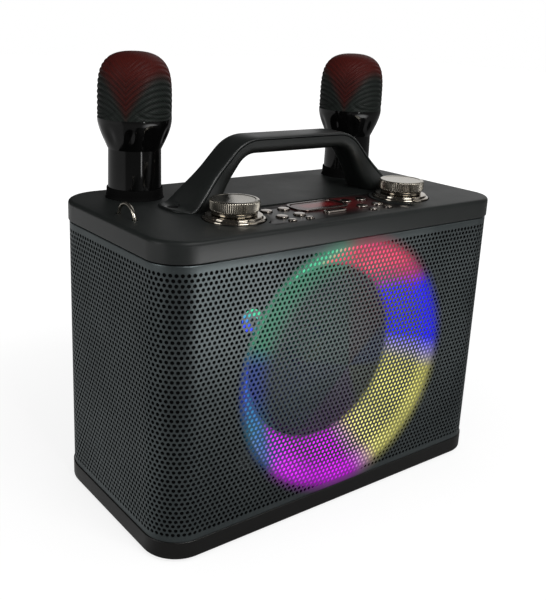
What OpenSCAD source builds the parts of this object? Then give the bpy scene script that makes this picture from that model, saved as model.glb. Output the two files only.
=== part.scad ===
// Karaoke speaker with a wrapped steel grille, a lit funnel round the driver,
// two cordless microphones standing in wells, a bridge handle and a top control panel.
// Millimetres, Z up, front at -Y. The origin is the centre of the footprint on the table.

/* [Body] */
// Overall width of the base and the cover
body_w = 310; // [300:1:335]
// Overall depth of the base and the cover
body_d = 162; // [160:1:180]
// Height from the table to the cover's top face
body_h = 222; // [221:1:240]
// Radius of the two front upright corners
front_corner_r = 26; // [18:1:32]
// Radius of the two rear upright corners
rear_corner_r = 33; // [20:1:36]
// Height of the rubber feet below the base
foot_h = 2; // [1.5:0.5:4]
// Height of the dark base rim
base_h = 13; // [11:0.5:14]
// Height of the cover's skirt and plate together
cover_h = 14.5; // [13:0.5:15]
// Rounding radius of the cover's top edge
cover_edge_r = 3; // [1.5:0.5:4]

/* [Grille] */
// Thickness of the wrapped steel sheet
grille_t = 1; // [0.8:0.1:1.4]
// Distance between openings along one row
grille_pitch = 42; // [34:1:48]
// Distance between rows
grille_row_pitch = 34; // [29:0.5:38]
// Radius of one opening
grille_hole_r = 12; // [8:0.5:13]

/* [Light and driver] */
// Radius of the lit funnel at its mouth
funnel_mouth_r = 92.5; // [85:0.5:92.5]
// Radius of the lit funnel at its throat
funnel_throat_r = 70; // [66:0.5:72]
// Depth of the funnel behind the cabinet's face
funnel_depth = 28; // [22:1:34]
// Number of lamps on the ring board
lamp_count = 12; // [8:2:24]

/* [Handle] */
// Height of the grip's top above the cover
grip_rise = 48.6; // [47:0.2:60]
// Thickness of the grip
grip_t = 12.8; // [11:0.2:16]
// Half the width of the grip, front to back
grip_half_w = 13; // [11:0.5:16]
// Half the width of each foot, front to back
handle_foot_half_w = 19; // [17:0.5:21]
// Half the distance between the tips of the feet
handle_half_l = 107.5; // [104:0.5:112]

/* [Controls] */
// Half the distance between the two knobs
knob_x = 79.5; // [78.5:0.5:84]
// Radius of a knob
knob_r = 16.8; // [14:0.2:18]
// Height of a knob
knob_h = 10.3; // [9:0.1:14]
// Number of ribs round a knob's rim
knob_ribs = 28; // [20:4:56]
// Radius of a large button
button_r = 4.4; // [3.4:0.2:4.6]
// Travel of a button
button_travel = 0.8; // [0.5:0.1:0.9]

/* [Microphones] */
// Half the distance between the two microphones
mic_x = 105; // [100:1:112]
// Radius of a microphone's body at its foot
mic_body_r = 19.6; // [17:0.1:20]
// Largest radius of a microphone's head
mic_head_r = 26.6; // [24:0.2:28]
// Height of the wire basket
basket_h = 46.5; // [40:0.5:52]
// Depth of a well below the cover's top face
well_depth = 40; // [32:1:50]

/* [Strap loop] */
// Radius of the loop's bend, to the wire's middle
loop_r = 11.3; // [9:0.1:12.5]
// Radius of the loop's wire
loop_wire_r = 1.2; // [1:0.1:1.5]

/* [Hidden] */
// Shared clearances and small sizes
fit_gap = 0.3;
run_gap = 0.05;
overshoot = 1;
screw_r = 1.5;
// Sides of round cutters and solids: small, middling and large ones
fine = 13;
mid = 14;
wide = 20;
broad = 30;
screw_head_r = 3;

// Base, cabinet and cover heights
base_top = foot_h + base_h;
base_floor_t = 3;
base_floor_top = foot_h + base_floor_t;
foot_r = 9;
foot_seat = 1;
cover_bottom = body_h - cover_h;
cover_plate_t = 5;
cover_plate_z = body_h - cover_plate_t;
rim_t = 4;

// The sheet and the cabinet, as insets from the outer outline
grille_inset = 0.8;
grille_h = cover_bottom - base_top;
grille_margin = 20;
grille_cut_h = 14;
cabinet_inset = rim_t + fit_gap;
cabinet_t = 5;
cabinet_front_y = -body_d / 2 + cabinet_inset;
cabinet_rear_y = body_d / 2 - cabinet_inset;

// Driver and lit funnel
driver_z = (base_top + cover_bottom) / 2;
flange_t = 1.8;
funnel_flange_r = funnel_mouth_r + 3;
funnel_hole_r = funnel_mouth_r + 0.8;
funnel_wall = 3;
funnel_rear_r = funnel_mouth_r - 2.5;
ear_r = 8;
ear_circle_r = funnel_mouth_r + 8.5;
ear_angles = [30, 150, 210, 330];
frame_t = 2;
roll_r = 5;
roll_t = 0.8;
roll_circle_r = funnel_throat_r - 10;
surround_rim_r = funnel_throat_r - 2.3;
cone_rim_r = roll_circle_r - roll_r + roll_t;
cone_h = 17;
cone_t = 1;
cone_neck_r = 12;
dust_cap_r = 18.5;
dust_cap_h = 6;
basket_ring_r = 38;
basket_depth = 32;
magnet_r = 37;
magnet_t = 18;
lamp_board_t = 1.6;
lamp_size = 3.5;

// Rear panel and its sockets
rear_panel_w = 130;
rear_panel_h = 52;
rear_panel_t = 3;
rear_panel_z = 62;
rear_window_margin = 6;
board_t = 1.6;
socket_block_l = 17;
shell_l = 18.5;
board_margin = 10;
main_board_y = cabinet_rear_y - socket_block_l - board_t;
charge_w = 9;
charge_h = 3.6;
charge_wall = 0.5;
usb_w = 14;
usb_h = 6.6;
usb_wall = 0.6;
rocker_x = -50;
charge_x = -27;
usb_x = -6;
aux_x = 16;
mic_jack_x = 42;
rocker_half_w = 6;
rocker_r = 9;
rocker_pin_r = 1.5;
rocker_y = cabinet_rear_y + 0.8;
rocker_tilt = 7;
mic_jack_bore_r = 3.2;
aux_bore_r = 1.8;
socket_depth = 15;
barrel_l = 19;

// Battery on the base floor
battery_w = 76;
battery_d = 40;
battery_h = 20;

// Control panel and its board
panel_front_shift = 4;
panel_y = -body_d / 4 - panel_front_shift;
panel_d = 51;
panel_half_w = 66;
panel_t = 2;
panel_sink = 1;
panel_z = body_h - panel_sink - panel_t;
panel_ledge = 2.6;
knob_y = panel_y + 2.5;
bezel_r = knob_r + 4.7;
bezel_step_r = knob_r + 2.8;
bezel_step_h = 2.4;
bezel_h = 4.2;
dish_r = bezel_r + 0.8;
panel_arc_r = dish_r + 2.2;
knob_z = body_h - panel_sink + bezel_h + fit_gap;
knob_rib_depth = 0.7;
shaft_r = 3;
shaft_top = knob_z + knob_h - 3.6;
pot_r = 8;
pot_bush_r = 3.6;
control_board_z = panel_z - 6;
switch_w = 5;
switch_bottom = control_board_z + board_t - 0.1;
control_board_w = 2 * knob_x + 30;
control_board_d = 42;
post_r = 2.4;
display_y = panel_y + 9.5;
display_w = 42;
display_d = 18;
display_rim = 3;
display_t = 0.8;
small_button_r = 3;
flange_out = 0.8;
flange_h = 1.2;
button_rise = 1.4;
switch_h = panel_z - flange_h - button_travel - run_gap - switch_bottom;
column_far = 45.5;
column_near = 30;
column_x = [-column_far, -column_near, column_near, column_far];
post_side_x = (column_near + column_far) / 2;
post_front_x = 16;
posts = [[post_side_x, 2.5], [-post_side_x, 2.5], [post_front_x, -17.5], [-post_front_x, -17.5]];
row_y = [panel_y + 11.5, panel_y - 6.5, panel_y - 18];
row_scale_r = [button_r, button_r, small_button_r];
bar_y = panel_y - 10;
bar_half_w = 10;
bar_r = 3;

// Handle lines, each for one half and mirrored: middle, shoulder, heel, tip
bend_steps = 4;
tip_steps = 3;
tip_r = 12;
handle_y = 0;
crown_steps = 6;
handle_tongue_t = 1.8;
grip_top_z = body_h + grip_rise;
grip_split_z = grip_top_z - 2;
grip_under_z = grip_top_z - grip_t;
handle_lean = 10;
heel_cut = 3;
groove = 0.8;
groove_depth = 2.4;
groove_draft = 0.02;
handle_screw_x = handle_half_l - 5.6;
handle_screw_r = 2;
handle_screw_head_r = 3.6;
handle_screw_head_t = 0.9;
handle_screw_l = 10;
handle_screw_recess = 0.8;

// Microphones and wells
mic_y = body_d / 2 - 32;
well_wall = 1.2;
well_in_r = mic_body_r + fit_gap;
well_r = well_in_r + well_wall;
well_floor_t = 2;
well_lip_h = 7.5;
well_flange_t = 1.5;
mic_foot_z = body_h - well_depth;
mic_tail_h = 10;
mic_neck_r = mic_body_r - 0.5;
mic_neck_z = body_h + 35.6;
collar_h = 21.9;
collar_low_r = mic_neck_r + 0.1;
basket_z = mic_neck_z + collar_h;
basket_wall = 1.6;
basket_rings = 6;
ring_depth = 0.7;
mic_button_z = body_h + 20;
mic_button_r = 3.7;
mic_button_travel = 0.6;
mic_button_flange = 1.2;
mic_button_land = mic_neck_r - 3;
mic_chamber_h = mic_button_flange + mic_button_travel + fit_gap;

// Strap loop on the cover's left side
loop_x = -body_w / 2 + 14;
loop_y = -6;
loop_sink = 2.5;
loop_bar_t = 1.5;

// Every separate piece of the object, in assembly order

// Plan outline of the body, moved inwards by an inset: straight runs and four exact arcs
module body_outline(inset) {
    fx = body_w / 2 - front_corner_r;
    fy = body_d / 2 - front_corner_r;
    rx = body_w / 2 - rear_corner_r;
    ry = body_d / 2 - rear_corner_r;
    side = body_w / 2 - inset;
    end = body_d / 2 - inset;
    polygon([[rx, end], [-rx, end], [-side, ry], [-side, -fy],
        [-fx, -end], [fx, -end], [side, -fy], [side, ry]]);
    for (sx = [-1, 1]) {
        translate([sx * rx, ry])
            circle(rear_corner_r - inset, $fn = wide);
        translate([sx * fx, -fy])
            circle(front_corner_r - inset, $fn = wide);
    }
}

// Upright wall between two insets of the body outline
module body_ring(outer, inner, z, h) {
    translate([0, 0, z])
        linear_extrude(h)
            difference() {
                body_outline(outer);
                body_outline(inner);
            }
}

// Four places, mirrored left to right and front to back
module four_corners(x, y) {
    for (sx = [-1, 1], sy = [-1, 1])
        translate([sx * x, sy * y, 0])
            children();
}

// Puts a turned shape on the driver's axis, its Z pointing into the cabinet
module at_driver() {
    translate([0, cabinet_front_y, driver_z])
        rotate([-90, 0, 0])
            children();
}

// Puts a turned shape on the rear panel, its Z pointing out of the back
module at_rear(x) {
    translate([x, cabinet_rear_y, rear_panel_z])
        rotate([-90, 0, 0])
            children();
}

// Repeats a shape on a circle at the given angles
module on_circle(r, angles) {
    for (a = angles)
        rotate([0, 0, a])
            translate([r, 0, 0])
                children();
}

// Rectangle with round corners, built from exact arcs
module round_rect(w, d, r) {
    square([w - 2 * r, d], center = true);
    square([w, d - 2 * r], center = true);
    for (sx = [-1, 1], sy = [-1, 1])
        translate([sx * (w / 2 - r), sy * (d / 2 - r)])
            circle(r, $fn = mid);
}

module base_tray() {
    color([0.03, 0.03, 0.035])
    difference() {
        translate([0, 0, foot_h])
            linear_extrude(base_h)
                body_outline(0);
        translate([0, 0, base_floor_top])
            linear_extrude(base_h)
                body_outline(rim_t);
        four_corners(body_w / 2 - front_corner_r, body_d / 2 - front_corner_r)
            translate([0, 0, foot_h - overshoot])
                cylinder(r = foot_r + fit_gap, h = foot_seat + overshoot, $fn = mid);
    }
}

module rubber_feet() {
    color([0.05, 0.05, 0.05])
    four_corners(body_w / 2 - front_corner_r, body_d / 2 - front_corner_r)
        cylinder(r1 = foot_r - 1, r2 = foot_r, h = foot_h + foot_seat, $fn = mid);
}

module cabinet() {
    color([0.12, 0.12, 0.12])
    difference() {
        body_ring(cabinet_inset, cabinet_inset + cabinet_t, base_floor_top,
            cover_plate_z - base_floor_top);
        at_driver()
            translate([0, 0, -overshoot])
                cylinder(r = funnel_hole_r, h = cabinet_t + 2 * overshoot, $fn = broad);
        at_driver()
            on_circle(ear_circle_r, ear_angles)
                translate([0, 0, -overshoot])
                    cylinder(r = screw_r + run_gap, h = cabinet_t + 2 * overshoot, $fn = fine);
        translate([0, cabinet_rear_y - cabinet_t / 2, rear_panel_z])
            cube([rear_panel_w - 2 * rear_window_margin, 2 * cabinet_t,
                rear_panel_h - 2 * rear_window_margin], center = true);
        rear_screw_places()
            translate([0, 0, -cabinet_t - overshoot])
                cylinder(r = screw_r + run_gap, h = cabinet_t + 2 * overshoot, $fn = fine);
    }
}

// The wrapped sheet is the showpiece: one closed ring with staggered rows of openings
// on the flat sides and on the four corners, and a window for the rear panel.
module grille() {
    color([0.16, 0.17, 0.18])
    difference() {
        body_ring(grille_inset, grille_inset + grille_t, base_top, grille_h);
        for (row = [0:grille_rows() - 1]) {
            z = base_top + grille_h / 2 + (row - (grille_rows() - 1) / 2) * grille_row_pitch;
            grille_row(z, row % 2);
        }
        translate([0, body_d / 2, rear_panel_z])
            cube([rear_panel_w + 2 * fit_gap, 4 * grille_t, rear_panel_h + 2 * fit_gap],
                center = true);
    }
}

function grille_rows() = floor((grille_h - 2 * grille_margin) / grille_row_pitch) + 1;

// Number of openings that a straight stretch takes, less one on shifted rows
function hole_count(length, shifted) =
    floor((length - 2 * grille_hole_r) / grille_pitch) + 1 - shifted;

// One row of openings all the way round, shifted rows lying between their neighbours
module grille_row(z, shifted) {
    side_l = body_d - front_corner_r - rear_corner_r;
    side_y = (front_corner_r - rear_corner_r) / 2;
    nf = hole_count(body_w - 2 * front_corner_r, shifted);
    nr = hole_count(body_w - 2 * rear_corner_r, shifted);
    ns = hole_count(side_l, shifted);
    for (i = [0:nf - 1])
        grille_hole([(i - (nf - 1) / 2) * grille_pitch, -body_d / 2, z], 0);
    for (i = [0:nr - 1])
        if (clear_of_window((i - (nr - 1) / 2) * grille_pitch, z))
            grille_hole([(i - (nr - 1) / 2) * grille_pitch, body_d / 2, z], 0);
    for (i = [0:ns - 1], side = [-1, 1])
        grille_hole([side * body_w / 2, side_y + (i - (ns - 1) / 2) * grille_pitch, z], 90);
    if (shifted == 1)
        for (side = [-1, 1]) {
            grille_hole([side * (body_w / 2 - front_corner_r * (1 - cos(45))),
                -body_d / 2 + front_corner_r * (1 - cos(45)), z], side * 45);
            grille_hole([side * (body_w / 2 - rear_corner_r * (1 - cos(45))),
                body_d / 2 - rear_corner_r * (1 - cos(45)), z], -side * 45);
        }
}

// True where an opening in the back stays clear of the rear panel's window
function clear_of_window(x, z) =
    abs(x) > rear_panel_w / 2 + grille_hole_r + 2
    || abs(z - rear_panel_z) > rear_panel_h / 2 + grille_hole_r + 2;

// Six-sided cutter for one opening
module grille_hole(place, turn) {
    translate(place)
        rotate([90, 0, turn])
            cylinder(r = grille_hole_r, h = grille_cut_h, center = true, $fn = 6);
}

module light_funnel() {
    color([0.75, 0.78, 0.8, 0.9])
    at_driver()
        difference() {
            union() {
                rotate_extrude($fn = broad)
                    polygon([
                        [funnel_mouth_r, -flange_t],
                        [funnel_flange_r, -flange_t],
                        [funnel_flange_r, 0],
                        [funnel_hole_r - fit_gap, 0],
                        [funnel_hole_r - fit_gap, 2],
                        [funnel_throat_r + funnel_wall, funnel_depth - 2],
                        [funnel_rear_r, funnel_depth - 2],
                        [funnel_rear_r, funnel_depth],
                        [funnel_throat_r - 2, funnel_depth],
                        [funnel_throat_r - 2, funnel_depth - 1.5],
                        [funnel_throat_r, funnel_depth - 2]]);
                on_circle(ear_circle_r, ear_angles)
                    translate([0, 0, -flange_t])
                        linear_extrude(flange_t)
                            difference() {
                                circle(ear_r, $fn = mid);
                                translate([-ear_circle_r, 0])
                                    circle(funnel_flange_r - 1, $fn = broad);
                            }
            }
            on_circle(ear_circle_r, ear_angles)
                translate([0, 0, -flange_t - overshoot])
                    cylinder(r = screw_r + fit_gap, h = flange_t + 2 * overshoot, $fn = fine);
        }
}

module led_ring_board() {
    board_z = funnel_depth - 2 - lamp_board_t;
    inner_r = funnel_throat_r + funnel_wall + 3;
    lamp_r = (inner_r + funnel_rear_r) / 2;
    color([0.9, 0.9, 0.88])
    at_driver() {
        translate([0, 0, board_z])
            linear_extrude(lamp_board_t)
                difference() {
                    circle(funnel_rear_r - 0.5, $fn = mid);
                    circle(inner_r, $fn = mid);
                }
        on_circle(lamp_r, [for (i = [0:lamp_count - 1]) (i + 0.5) * 360 / lamp_count])
            translate([0, 0, board_z - 0.4])
                cube([lamp_size, lamp_size, 1], center = true);
    }
}

module driver_frame() {
    rear_z = funnel_depth + basket_depth;
    color([0.1, 0.1, 0.1])
    at_driver()
        difference() {
            union() {
                translate([0, 0, funnel_depth])
                    cylinder(r = funnel_rear_r, h = frame_t, $fn = wide);
                translate([0, 0, rear_z - frame_t])
                    cylinder(r = basket_ring_r, h = frame_t, $fn = wide);
                on_circle(0, [0:60:300])
                    rotate([90, 0, 0])
                        linear_extrude(9, center = true)
                            polygon([
                                [funnel_throat_r + 2, funnel_depth + 1],
                                [funnel_throat_r - 2, funnel_depth + 1],
                                [basket_ring_r - 6, rear_z - frame_t],
                                [basket_ring_r - 6, rear_z],
                                [basket_ring_r - 1, rear_z]]);
            }
            translate([0, 0, funnel_depth - overshoot])
                cylinder(r = roll_circle_r, h = frame_t + 2 * overshoot, $fn = wide);
            translate([0, 0, rear_z - frame_t - overshoot])
                cylinder(r = basket_ring_r - 10, h = frame_t + 2 * overshoot, $fn = wide);
        }
}

module driver_surround() {
    color([0.04, 0.04, 0.04])
    at_driver()
        rotate_extrude($fn = wide) {
            translate([roll_circle_r, funnel_depth])
                difference() {
                    circle(roll_r, $fn = mid);
                    circle(roll_r - roll_t, $fn = mid);
                    translate([-2 * roll_r, 0])
                        square(4 * roll_r);
                }
            translate([roll_circle_r + roll_r - roll_t, funnel_depth - roll_t])
                square([surround_rim_r - roll_circle_r - roll_r + roll_t, roll_t]);
            translate([cone_rim_r - 3, funnel_depth - roll_t])
                square([3, roll_t]);
        }
}

module driver_cone() {
    neck_z = funnel_depth + cone_h;
    color([0.07, 0.07, 0.075])
    at_driver()
        rotate_extrude($fn = wide)
            polygon([
                [cone_rim_r, funnel_depth],
                [cone_rim_r, funnel_depth + cone_t],
                [cone_rim_r - 3, funnel_depth + cone_t],
                [dust_cap_r + 1, neck_z + cone_t],
                [cone_neck_r, neck_z + cone_t],
                [cone_neck_r, neck_z],
                [dust_cap_r + 0.5, neck_z],
                [cone_rim_r - 3.5, funnel_depth]]);
}

module dust_cap() {
    neck_z = funnel_depth + cone_h;
    steps = 3;
    outside = [for (i = [0:steps])
        [dust_cap_r * cos(90 * i / steps), neck_z - 1 - dust_cap_h * sin(90 * i / steps)]];
    inside = [for (i = [steps:-1:0])
        [(dust_cap_r - 1.5) * cos(90 * i / steps), neck_z - dust_cap_h * sin(90 * i / steps)]];
    color([0.05, 0.05, 0.055])
    at_driver()
        rotate_extrude($fn = wide)
            polygon(concat([[dust_cap_r, neck_z]], outside, inside));
}

module driver_magnet() {
    color([0.35, 0.35, 0.37])
    at_driver()
        translate([0, 0, funnel_depth + basket_depth]) {
            cylinder(r = magnet_r - 4, h = 3, $fn = wide);
            translate([0, 0, 3])
                cylinder(r = magnet_r, h = magnet_t - 6, $fn = wide);
            translate([0, 0, magnet_t - 3])
                cylinder(r = magnet_r - 4, h = 3, $fn = wide);
        }
}

// They hold the funnel's ears to the cabinet
module speaker_screws() {
    color([0.55, 0.55, 0.57])
    at_driver()
        on_circle(ear_circle_r, ear_angles)
            translate([0, 0, -flange_t - 0.5]) {
                cylinder(r = screw_head_r, h = 0.5, $fn = fine);
                cylinder(r = screw_r, h = flange_t + cabinet_t, $fn = fine);
            }
}

module rear_screw_places() {
    for (sx = [-1, 1], sz = [-1, 1])
        at_rear(sx * (rear_panel_w / 2 - rear_window_margin / 2 - 0.4))
            translate([0, sz * (rear_panel_h / 2 - rear_window_margin / 2 - 0.4), 0])
                children();
}

module rear_panel() {
    cheek_t = 2;
    color([0.05, 0.05, 0.055])
    difference() {
        union() {
            at_rear(0)
                linear_extrude(rear_panel_t)
                    round_rect(rear_panel_w, rear_panel_h, 4);
            for (side = [-1, 1])
                translate([rocker_x + side * (rocker_half_w + fit_gap + cheek_t / 2),
                    cabinet_rear_y - 3, rear_panel_z])
                    cube([cheek_t, 8, 12], center = true);
        }
        at_rear(rocker_x)
            translate([0, 0, -overshoot])
                linear_extrude(rear_panel_t + 2 * overshoot)
                    square([2 * (rocker_half_w + fit_gap), 2 * (rocker_r + fit_gap)],
                        center = true);
        translate([rocker_x, rocker_y, rear_panel_z])
            rotate([0, 90, 0])
                cylinder(r = rocker_pin_r + run_gap, h = 2 * rocker_half_w + 3, center = true,
                    $fn = mid);
        at_rear(charge_x)
            rear_cut(charge_w + 2 * fit_gap, charge_h + 2 * fit_gap);
        at_rear(usb_x)
            rear_cut(usb_w + 2 * fit_gap, usb_h + 2 * fit_gap);
        at_rear(aux_x)
            translate([0, 0, -overshoot])
                cylinder(r = aux_bore_r + 1.7, h = rear_panel_t + 2 * overshoot, $fn = mid);
        at_rear(mic_jack_x)
            translate([0, 0, -overshoot])
                cylinder(r = mic_jack_bore_r + 2.1, h = rear_panel_t + 2 * overshoot, $fn = mid);
        rear_screw_places()
            translate([0, 0, -overshoot])
                cylinder(r = screw_r + fit_gap, h = rear_panel_t + 2 * overshoot, $fn = fine);
        rear_screw_places()
            translate([0, 0, rear_panel_t - 1])
                cylinder(r = 2.6, h = 1 + overshoot, $fn = fine);
    }
}

// Rectangular way through the rear panel for a socket's shell
module rear_cut(w, h) {
    translate([0, 0, -overshoot])
        linear_extrude(rear_panel_t + 2 * overshoot)
            square([w, h], center = true);
}

module rear_panel_screws() {
    color([0.5, 0.5, 0.52])
    rear_screw_places()
        translate([0, 0, -cabinet_t]) {
            cylinder(r = screw_r, h = cabinet_t + rear_panel_t - 1, $fn = fine);
            translate([0, 0, cabinet_t + rear_panel_t - 1])
                cylinder(r = 2.3, h = 0.9, $fn = fine);
        }
}

module power_rocker() {
    color([0.08, 0.08, 0.08])
    translate([rocker_x, rocker_y, rear_panel_z]) {
        difference() {
            rotate([0, 90, 0])
                cylinder(r = rocker_r, h = 2 * rocker_half_w, center = true, $fn = wide);
            for (tilt = [0, 2 * rocker_tilt])
                rotate([tilt, 0, 0])
                    translate([0, rocker_r + 2.2, 0])
                        cube([2 * rocker_half_w + 2, 2 * rocker_r, 4 * rocker_r], center = true);
        }
        rotate([0, 90, 0])
            cylinder(r = rocker_pin_r, h = 2 * rocker_half_w + 2.6, center = true, $fn = mid);
    }
}

module charge_socket() {
    color([0.6, 0.6, 0.62])
    at_rear(charge_x)
        translate([0, 0, -socket_block_l])
            difference() {
                linear_extrude(shell_l)
                    round_rect(charge_w, charge_h, charge_h / 2 - 0.1);
                translate([0, 0, shell_l / 2])
                    linear_extrude(shell_l)
                        round_rect(charge_w - 2 * charge_wall, charge_h - 2 * charge_wall,
                            charge_h / 2 - charge_wall - 0.05);
            }
}

module usb_port() {
    color([0.6, 0.6, 0.62])
    at_rear(usb_x)
        translate([0, 0, -socket_block_l])
            difference() {
                linear_extrude(shell_l)
                    square([usb_w, usb_h], center = true);
                translate([0, 0, shell_l / 3])
                    linear_extrude(shell_l)
                        difference() {
                            square([usb_w - 2 * usb_wall, usb_h - 2 * usb_wall], center = true);
                            translate([0, -2 * usb_wall])
                                square([usb_w - 4 * usb_wall - 0.4, usb_h / 4], center = true);
                        }
            }
}

module aux_socket() {
    socket(aux_x, aux_bore_r, 1.4, 6);
}

module mic_jack() {
    socket(mic_jack_x, mic_jack_bore_r, 1.8, 9);
}

// Jack socket: a block on the main board and a threaded barrel through the panel
module socket(x, bore_r, wall, half) {
    color([0.45, 0.45, 0.47])
    at_rear(x)
        translate([0, 0, -socket_block_l])
            difference() {
                union() {
                    translate([0, 0, socket_block_l / 2])
                        cube([2 * half, 2 * half, socket_block_l], center = true);
                    cylinder(r = bore_r + wall, h = barrel_l, $fn = mid);
                }
                translate([0, 0, barrel_l - socket_depth])
                    cylinder(r = bore_r, h = socket_depth + overshoot, $fn = mid);
            }
}

module main_board() {
    color([0.05, 0.2, 0.1])
    translate([0, main_board_y + board_t / 2, rear_panel_z])
        cube([rear_panel_w - 2 * board_margin, board_t, rear_panel_h - board_margin],
            center = true);
}

module battery_pack() {
    color([0.1, 0.25, 0.5])
    translate([0, 0, base_floor_top])
        rotate([90, 0, 0])
            linear_extrude(battery_d, center = true)
                translate([0, battery_h / 2])
                    round_rect(battery_w, battery_h, 6);
}

// Cover with a softened top edge, hollow below its plate
module top_cover() {
    edge_steps = 3;
    plate = 0.05;
    color([0.09, 0.095, 0.1])
    difference() {
        hull() {
            translate([0, 0, cover_bottom])
                linear_extrude(cover_h - cover_edge_r)
                    body_outline(0);
            for (i = [1:edge_steps])
                translate([0, 0, body_h - plate - cover_edge_r * (1 - sin(90 * i / edge_steps))])
                    linear_extrude(plate)
                        body_outline(cover_edge_r * (1 - cos(90 * i / edge_steps)));
        }
        translate([0, 0, cover_bottom - overshoot])
            linear_extrude(cover_h - cover_plate_t + overshoot)
                body_outline(rim_t);
        for (side = [-1, 1]) {
            translate([side * mic_x, mic_y, cover_bottom])
                cylinder(r = well_r + fit_gap, h = cover_h + overshoot, $fn = wide);
            translate([side * knob_x, knob_y, body_h - panel_sink])
                cylinder(r = dish_r, h = panel_sink + overshoot, $fn = wide);
            translate([side * knob_x, knob_y, cover_bottom])
                cylinder(r = pot_bush_r + fit_gap, h = cover_h + overshoot, $fn = mid);
            translate([side * handle_screw_x, handle_y, cover_bottom])
                cylinder(r = handle_screw_r + fit_gap, h = cover_h + overshoot, $fn = fine);
            translate([loop_x, loop_y + side * loop_r, cover_bottom])
                cylinder(r = loop_wire_r + 0.7, h = cover_h + overshoot, $fn = fine);
        }
        translate([0, 0, panel_z])
            linear_extrude(panel_t + panel_sink + overshoot)
                panel_outline(0);
        translate([0, 0, cover_plate_z - overshoot])
            linear_extrude(cover_plate_t + overshoot)
                panel_outline(panel_ledge);
    }
}

// Plan of the control panel: a bar whose ends curve round the knobs
module panel_outline(inset) {
    translate([0, panel_y])
        difference() {
            square([2 * (panel_half_w - inset), panel_d - 2 * inset], center = true);
            for (side = [-1, 1])
                translate([side * knob_x, knob_y - panel_y])
                    circle(panel_arc_r + inset, $fn = wide);
        }
}

module control_panel() {
    color([0.04, 0.04, 0.045])
    difference() {
        union() {
            translate([0, 0, panel_z])
                linear_extrude(panel_t)
                    panel_outline(0.2);
            for (p = posts)
                translate([p[0], panel_y + p[1], control_board_z + board_t])
                    cylinder(r = post_r, h = panel_z - control_board_z - board_t + 0.5, $fn = fine);
        }
        translate([0, display_y, panel_z - overshoot])
            linear_extrude(panel_t + 2 * overshoot)
                square([display_w - 4, display_d - 4], center = true);
        for (row = [0:2], column = [0:3])
            translate([column_x[column], row_y[row], panel_z - overshoot])
                cylinder(r = row_scale_r[row] + fit_gap, h = panel_t + 2 * overshoot, $fn = mid);
        translate([0, bar_y, panel_z - overshoot])
            linear_extrude(panel_t + 2 * overshoot)
                bar_outline(fit_gap);
    }
}

// Plan of the long button, grown by a margin
module bar_outline(grow) {
    square([2 * (bar_half_w - bar_r), 2 * (bar_r + grow)], center = true);
    for (side = [-1, 1])
        translate([side * (bar_half_w - bar_r), 0])
            circle(bar_r + grow, $fn = mid);
}

// Board with its switches, the display block and the two knobs' shafts
module control_board() {
    top = control_board_z + board_t;
    color([0.05, 0.18, 0.1]) {
        translate([0, panel_y, control_board_z + board_t / 2])
            cube([control_board_w, control_board_d, board_t], center = true);
        for (row = [0:2], column = [0:3])
            translate([column_x[column], row_y[row], switch_bottom + switch_h / 2])
                cube([switch_w, switch_w, switch_h], center = true);
        translate([0, bar_y, switch_bottom + switch_h / 2])
            cube([switch_w, switch_w, switch_h], center = true);
        translate([0, display_y, (top + panel_z + panel_t) / 2 - 0.1])
            cube([display_w - 6, display_d - 6, panel_z + panel_t - top], center = true);
        for (side = [-1, 1])
            translate([side * knob_x, knob_y, 0]) {
                translate([0, 0, top - 0.2])
                    cylinder(r = pot_r, h = cover_plate_z - top + 0.2, $fn = mid);
                translate([0, 0, top])
                    cylinder(r = pot_bush_r, h = knob_z - 2 - top, $fn = mid);
                translate([0, 0, top])
                    cylinder(r = shaft_r, h = shaft_top - top, $fn = mid);
            }
    }
}

module display_bezel() {
    color([0.75, 0.75, 0.76])
    translate([0, display_y, panel_z + panel_t])
        linear_extrude(display_t + 0.4)
            difference() {
                round_rect(display_w + 2 * display_rim, display_d + 2 * display_rim, 8);
                round_rect(display_w, display_d, 5);
            }
}

module display_window() {
    color([0.15, 0.01, 0.01])
    translate([0, display_y, panel_z + panel_t])
        linear_extrude(display_t)
            round_rect(display_w - 0.4, display_d - 0.4, 4.8);
}

module knob_bezel(side) {
    color([0.75, 0.75, 0.76])
    translate([side * knob_x, knob_y, body_h - panel_sink])
        difference() {
            union() {
                cylinder(r = bezel_r, h = bezel_step_h - 0.6, $fn = wide);
                translate([0, 0, bezel_step_h - 0.6])
                    cylinder(r1 = bezel_r, r2 = bezel_r - 0.6, h = 0.6, $fn = wide);
                cylinder(r = bezel_step_r, h = bezel_h, $fn = wide);
            }
            translate([0, 0, -overshoot])
                cylinder(r = pot_r, h = bezel_h + 2 * overshoot, $fn = mid);
        }
}

// Turned knob with a ribbed rim and a blind bore that rests on the shaft's end
module knob(side) {
    rib_low = 0.52 * knob_h;
    rib_high = 0.93 * knob_h;
    color([0.78, 0.78, 0.79])
    translate([side * knob_x, knob_y, knob_z])
        difference() {
            union() {
                rotate_extrude($fn = wide)
                    polygon([
                        [0, 0],
                        [knob_r - 0.8, 0],
                        [knob_r, 0.8],
                        [knob_r, knob_h - 1],
                        [knob_r - 1, knob_h],
                        [knob_r - 2.4, knob_h],
                        [knob_r - 2.8, knob_h - 0.3],
                        [0, knob_h - 0.3]]);
                translate([0, 0, rib_low])
                    linear_extrude(rib_high - rib_low)
                        polygon([for (i = [0:2 * knob_ribs - 1])
                            let (r = knob_r + (i % 2) * knob_rib_depth, a = 180 * i / knob_ribs)
                            [r * cos(a), r * sin(a)]]);
            }
            translate([0, 0, -overshoot])
                cylinder(r = shaft_r + run_gap, h = shaft_top - knob_z + overshoot, $fn = mid);
        }
}

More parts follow.
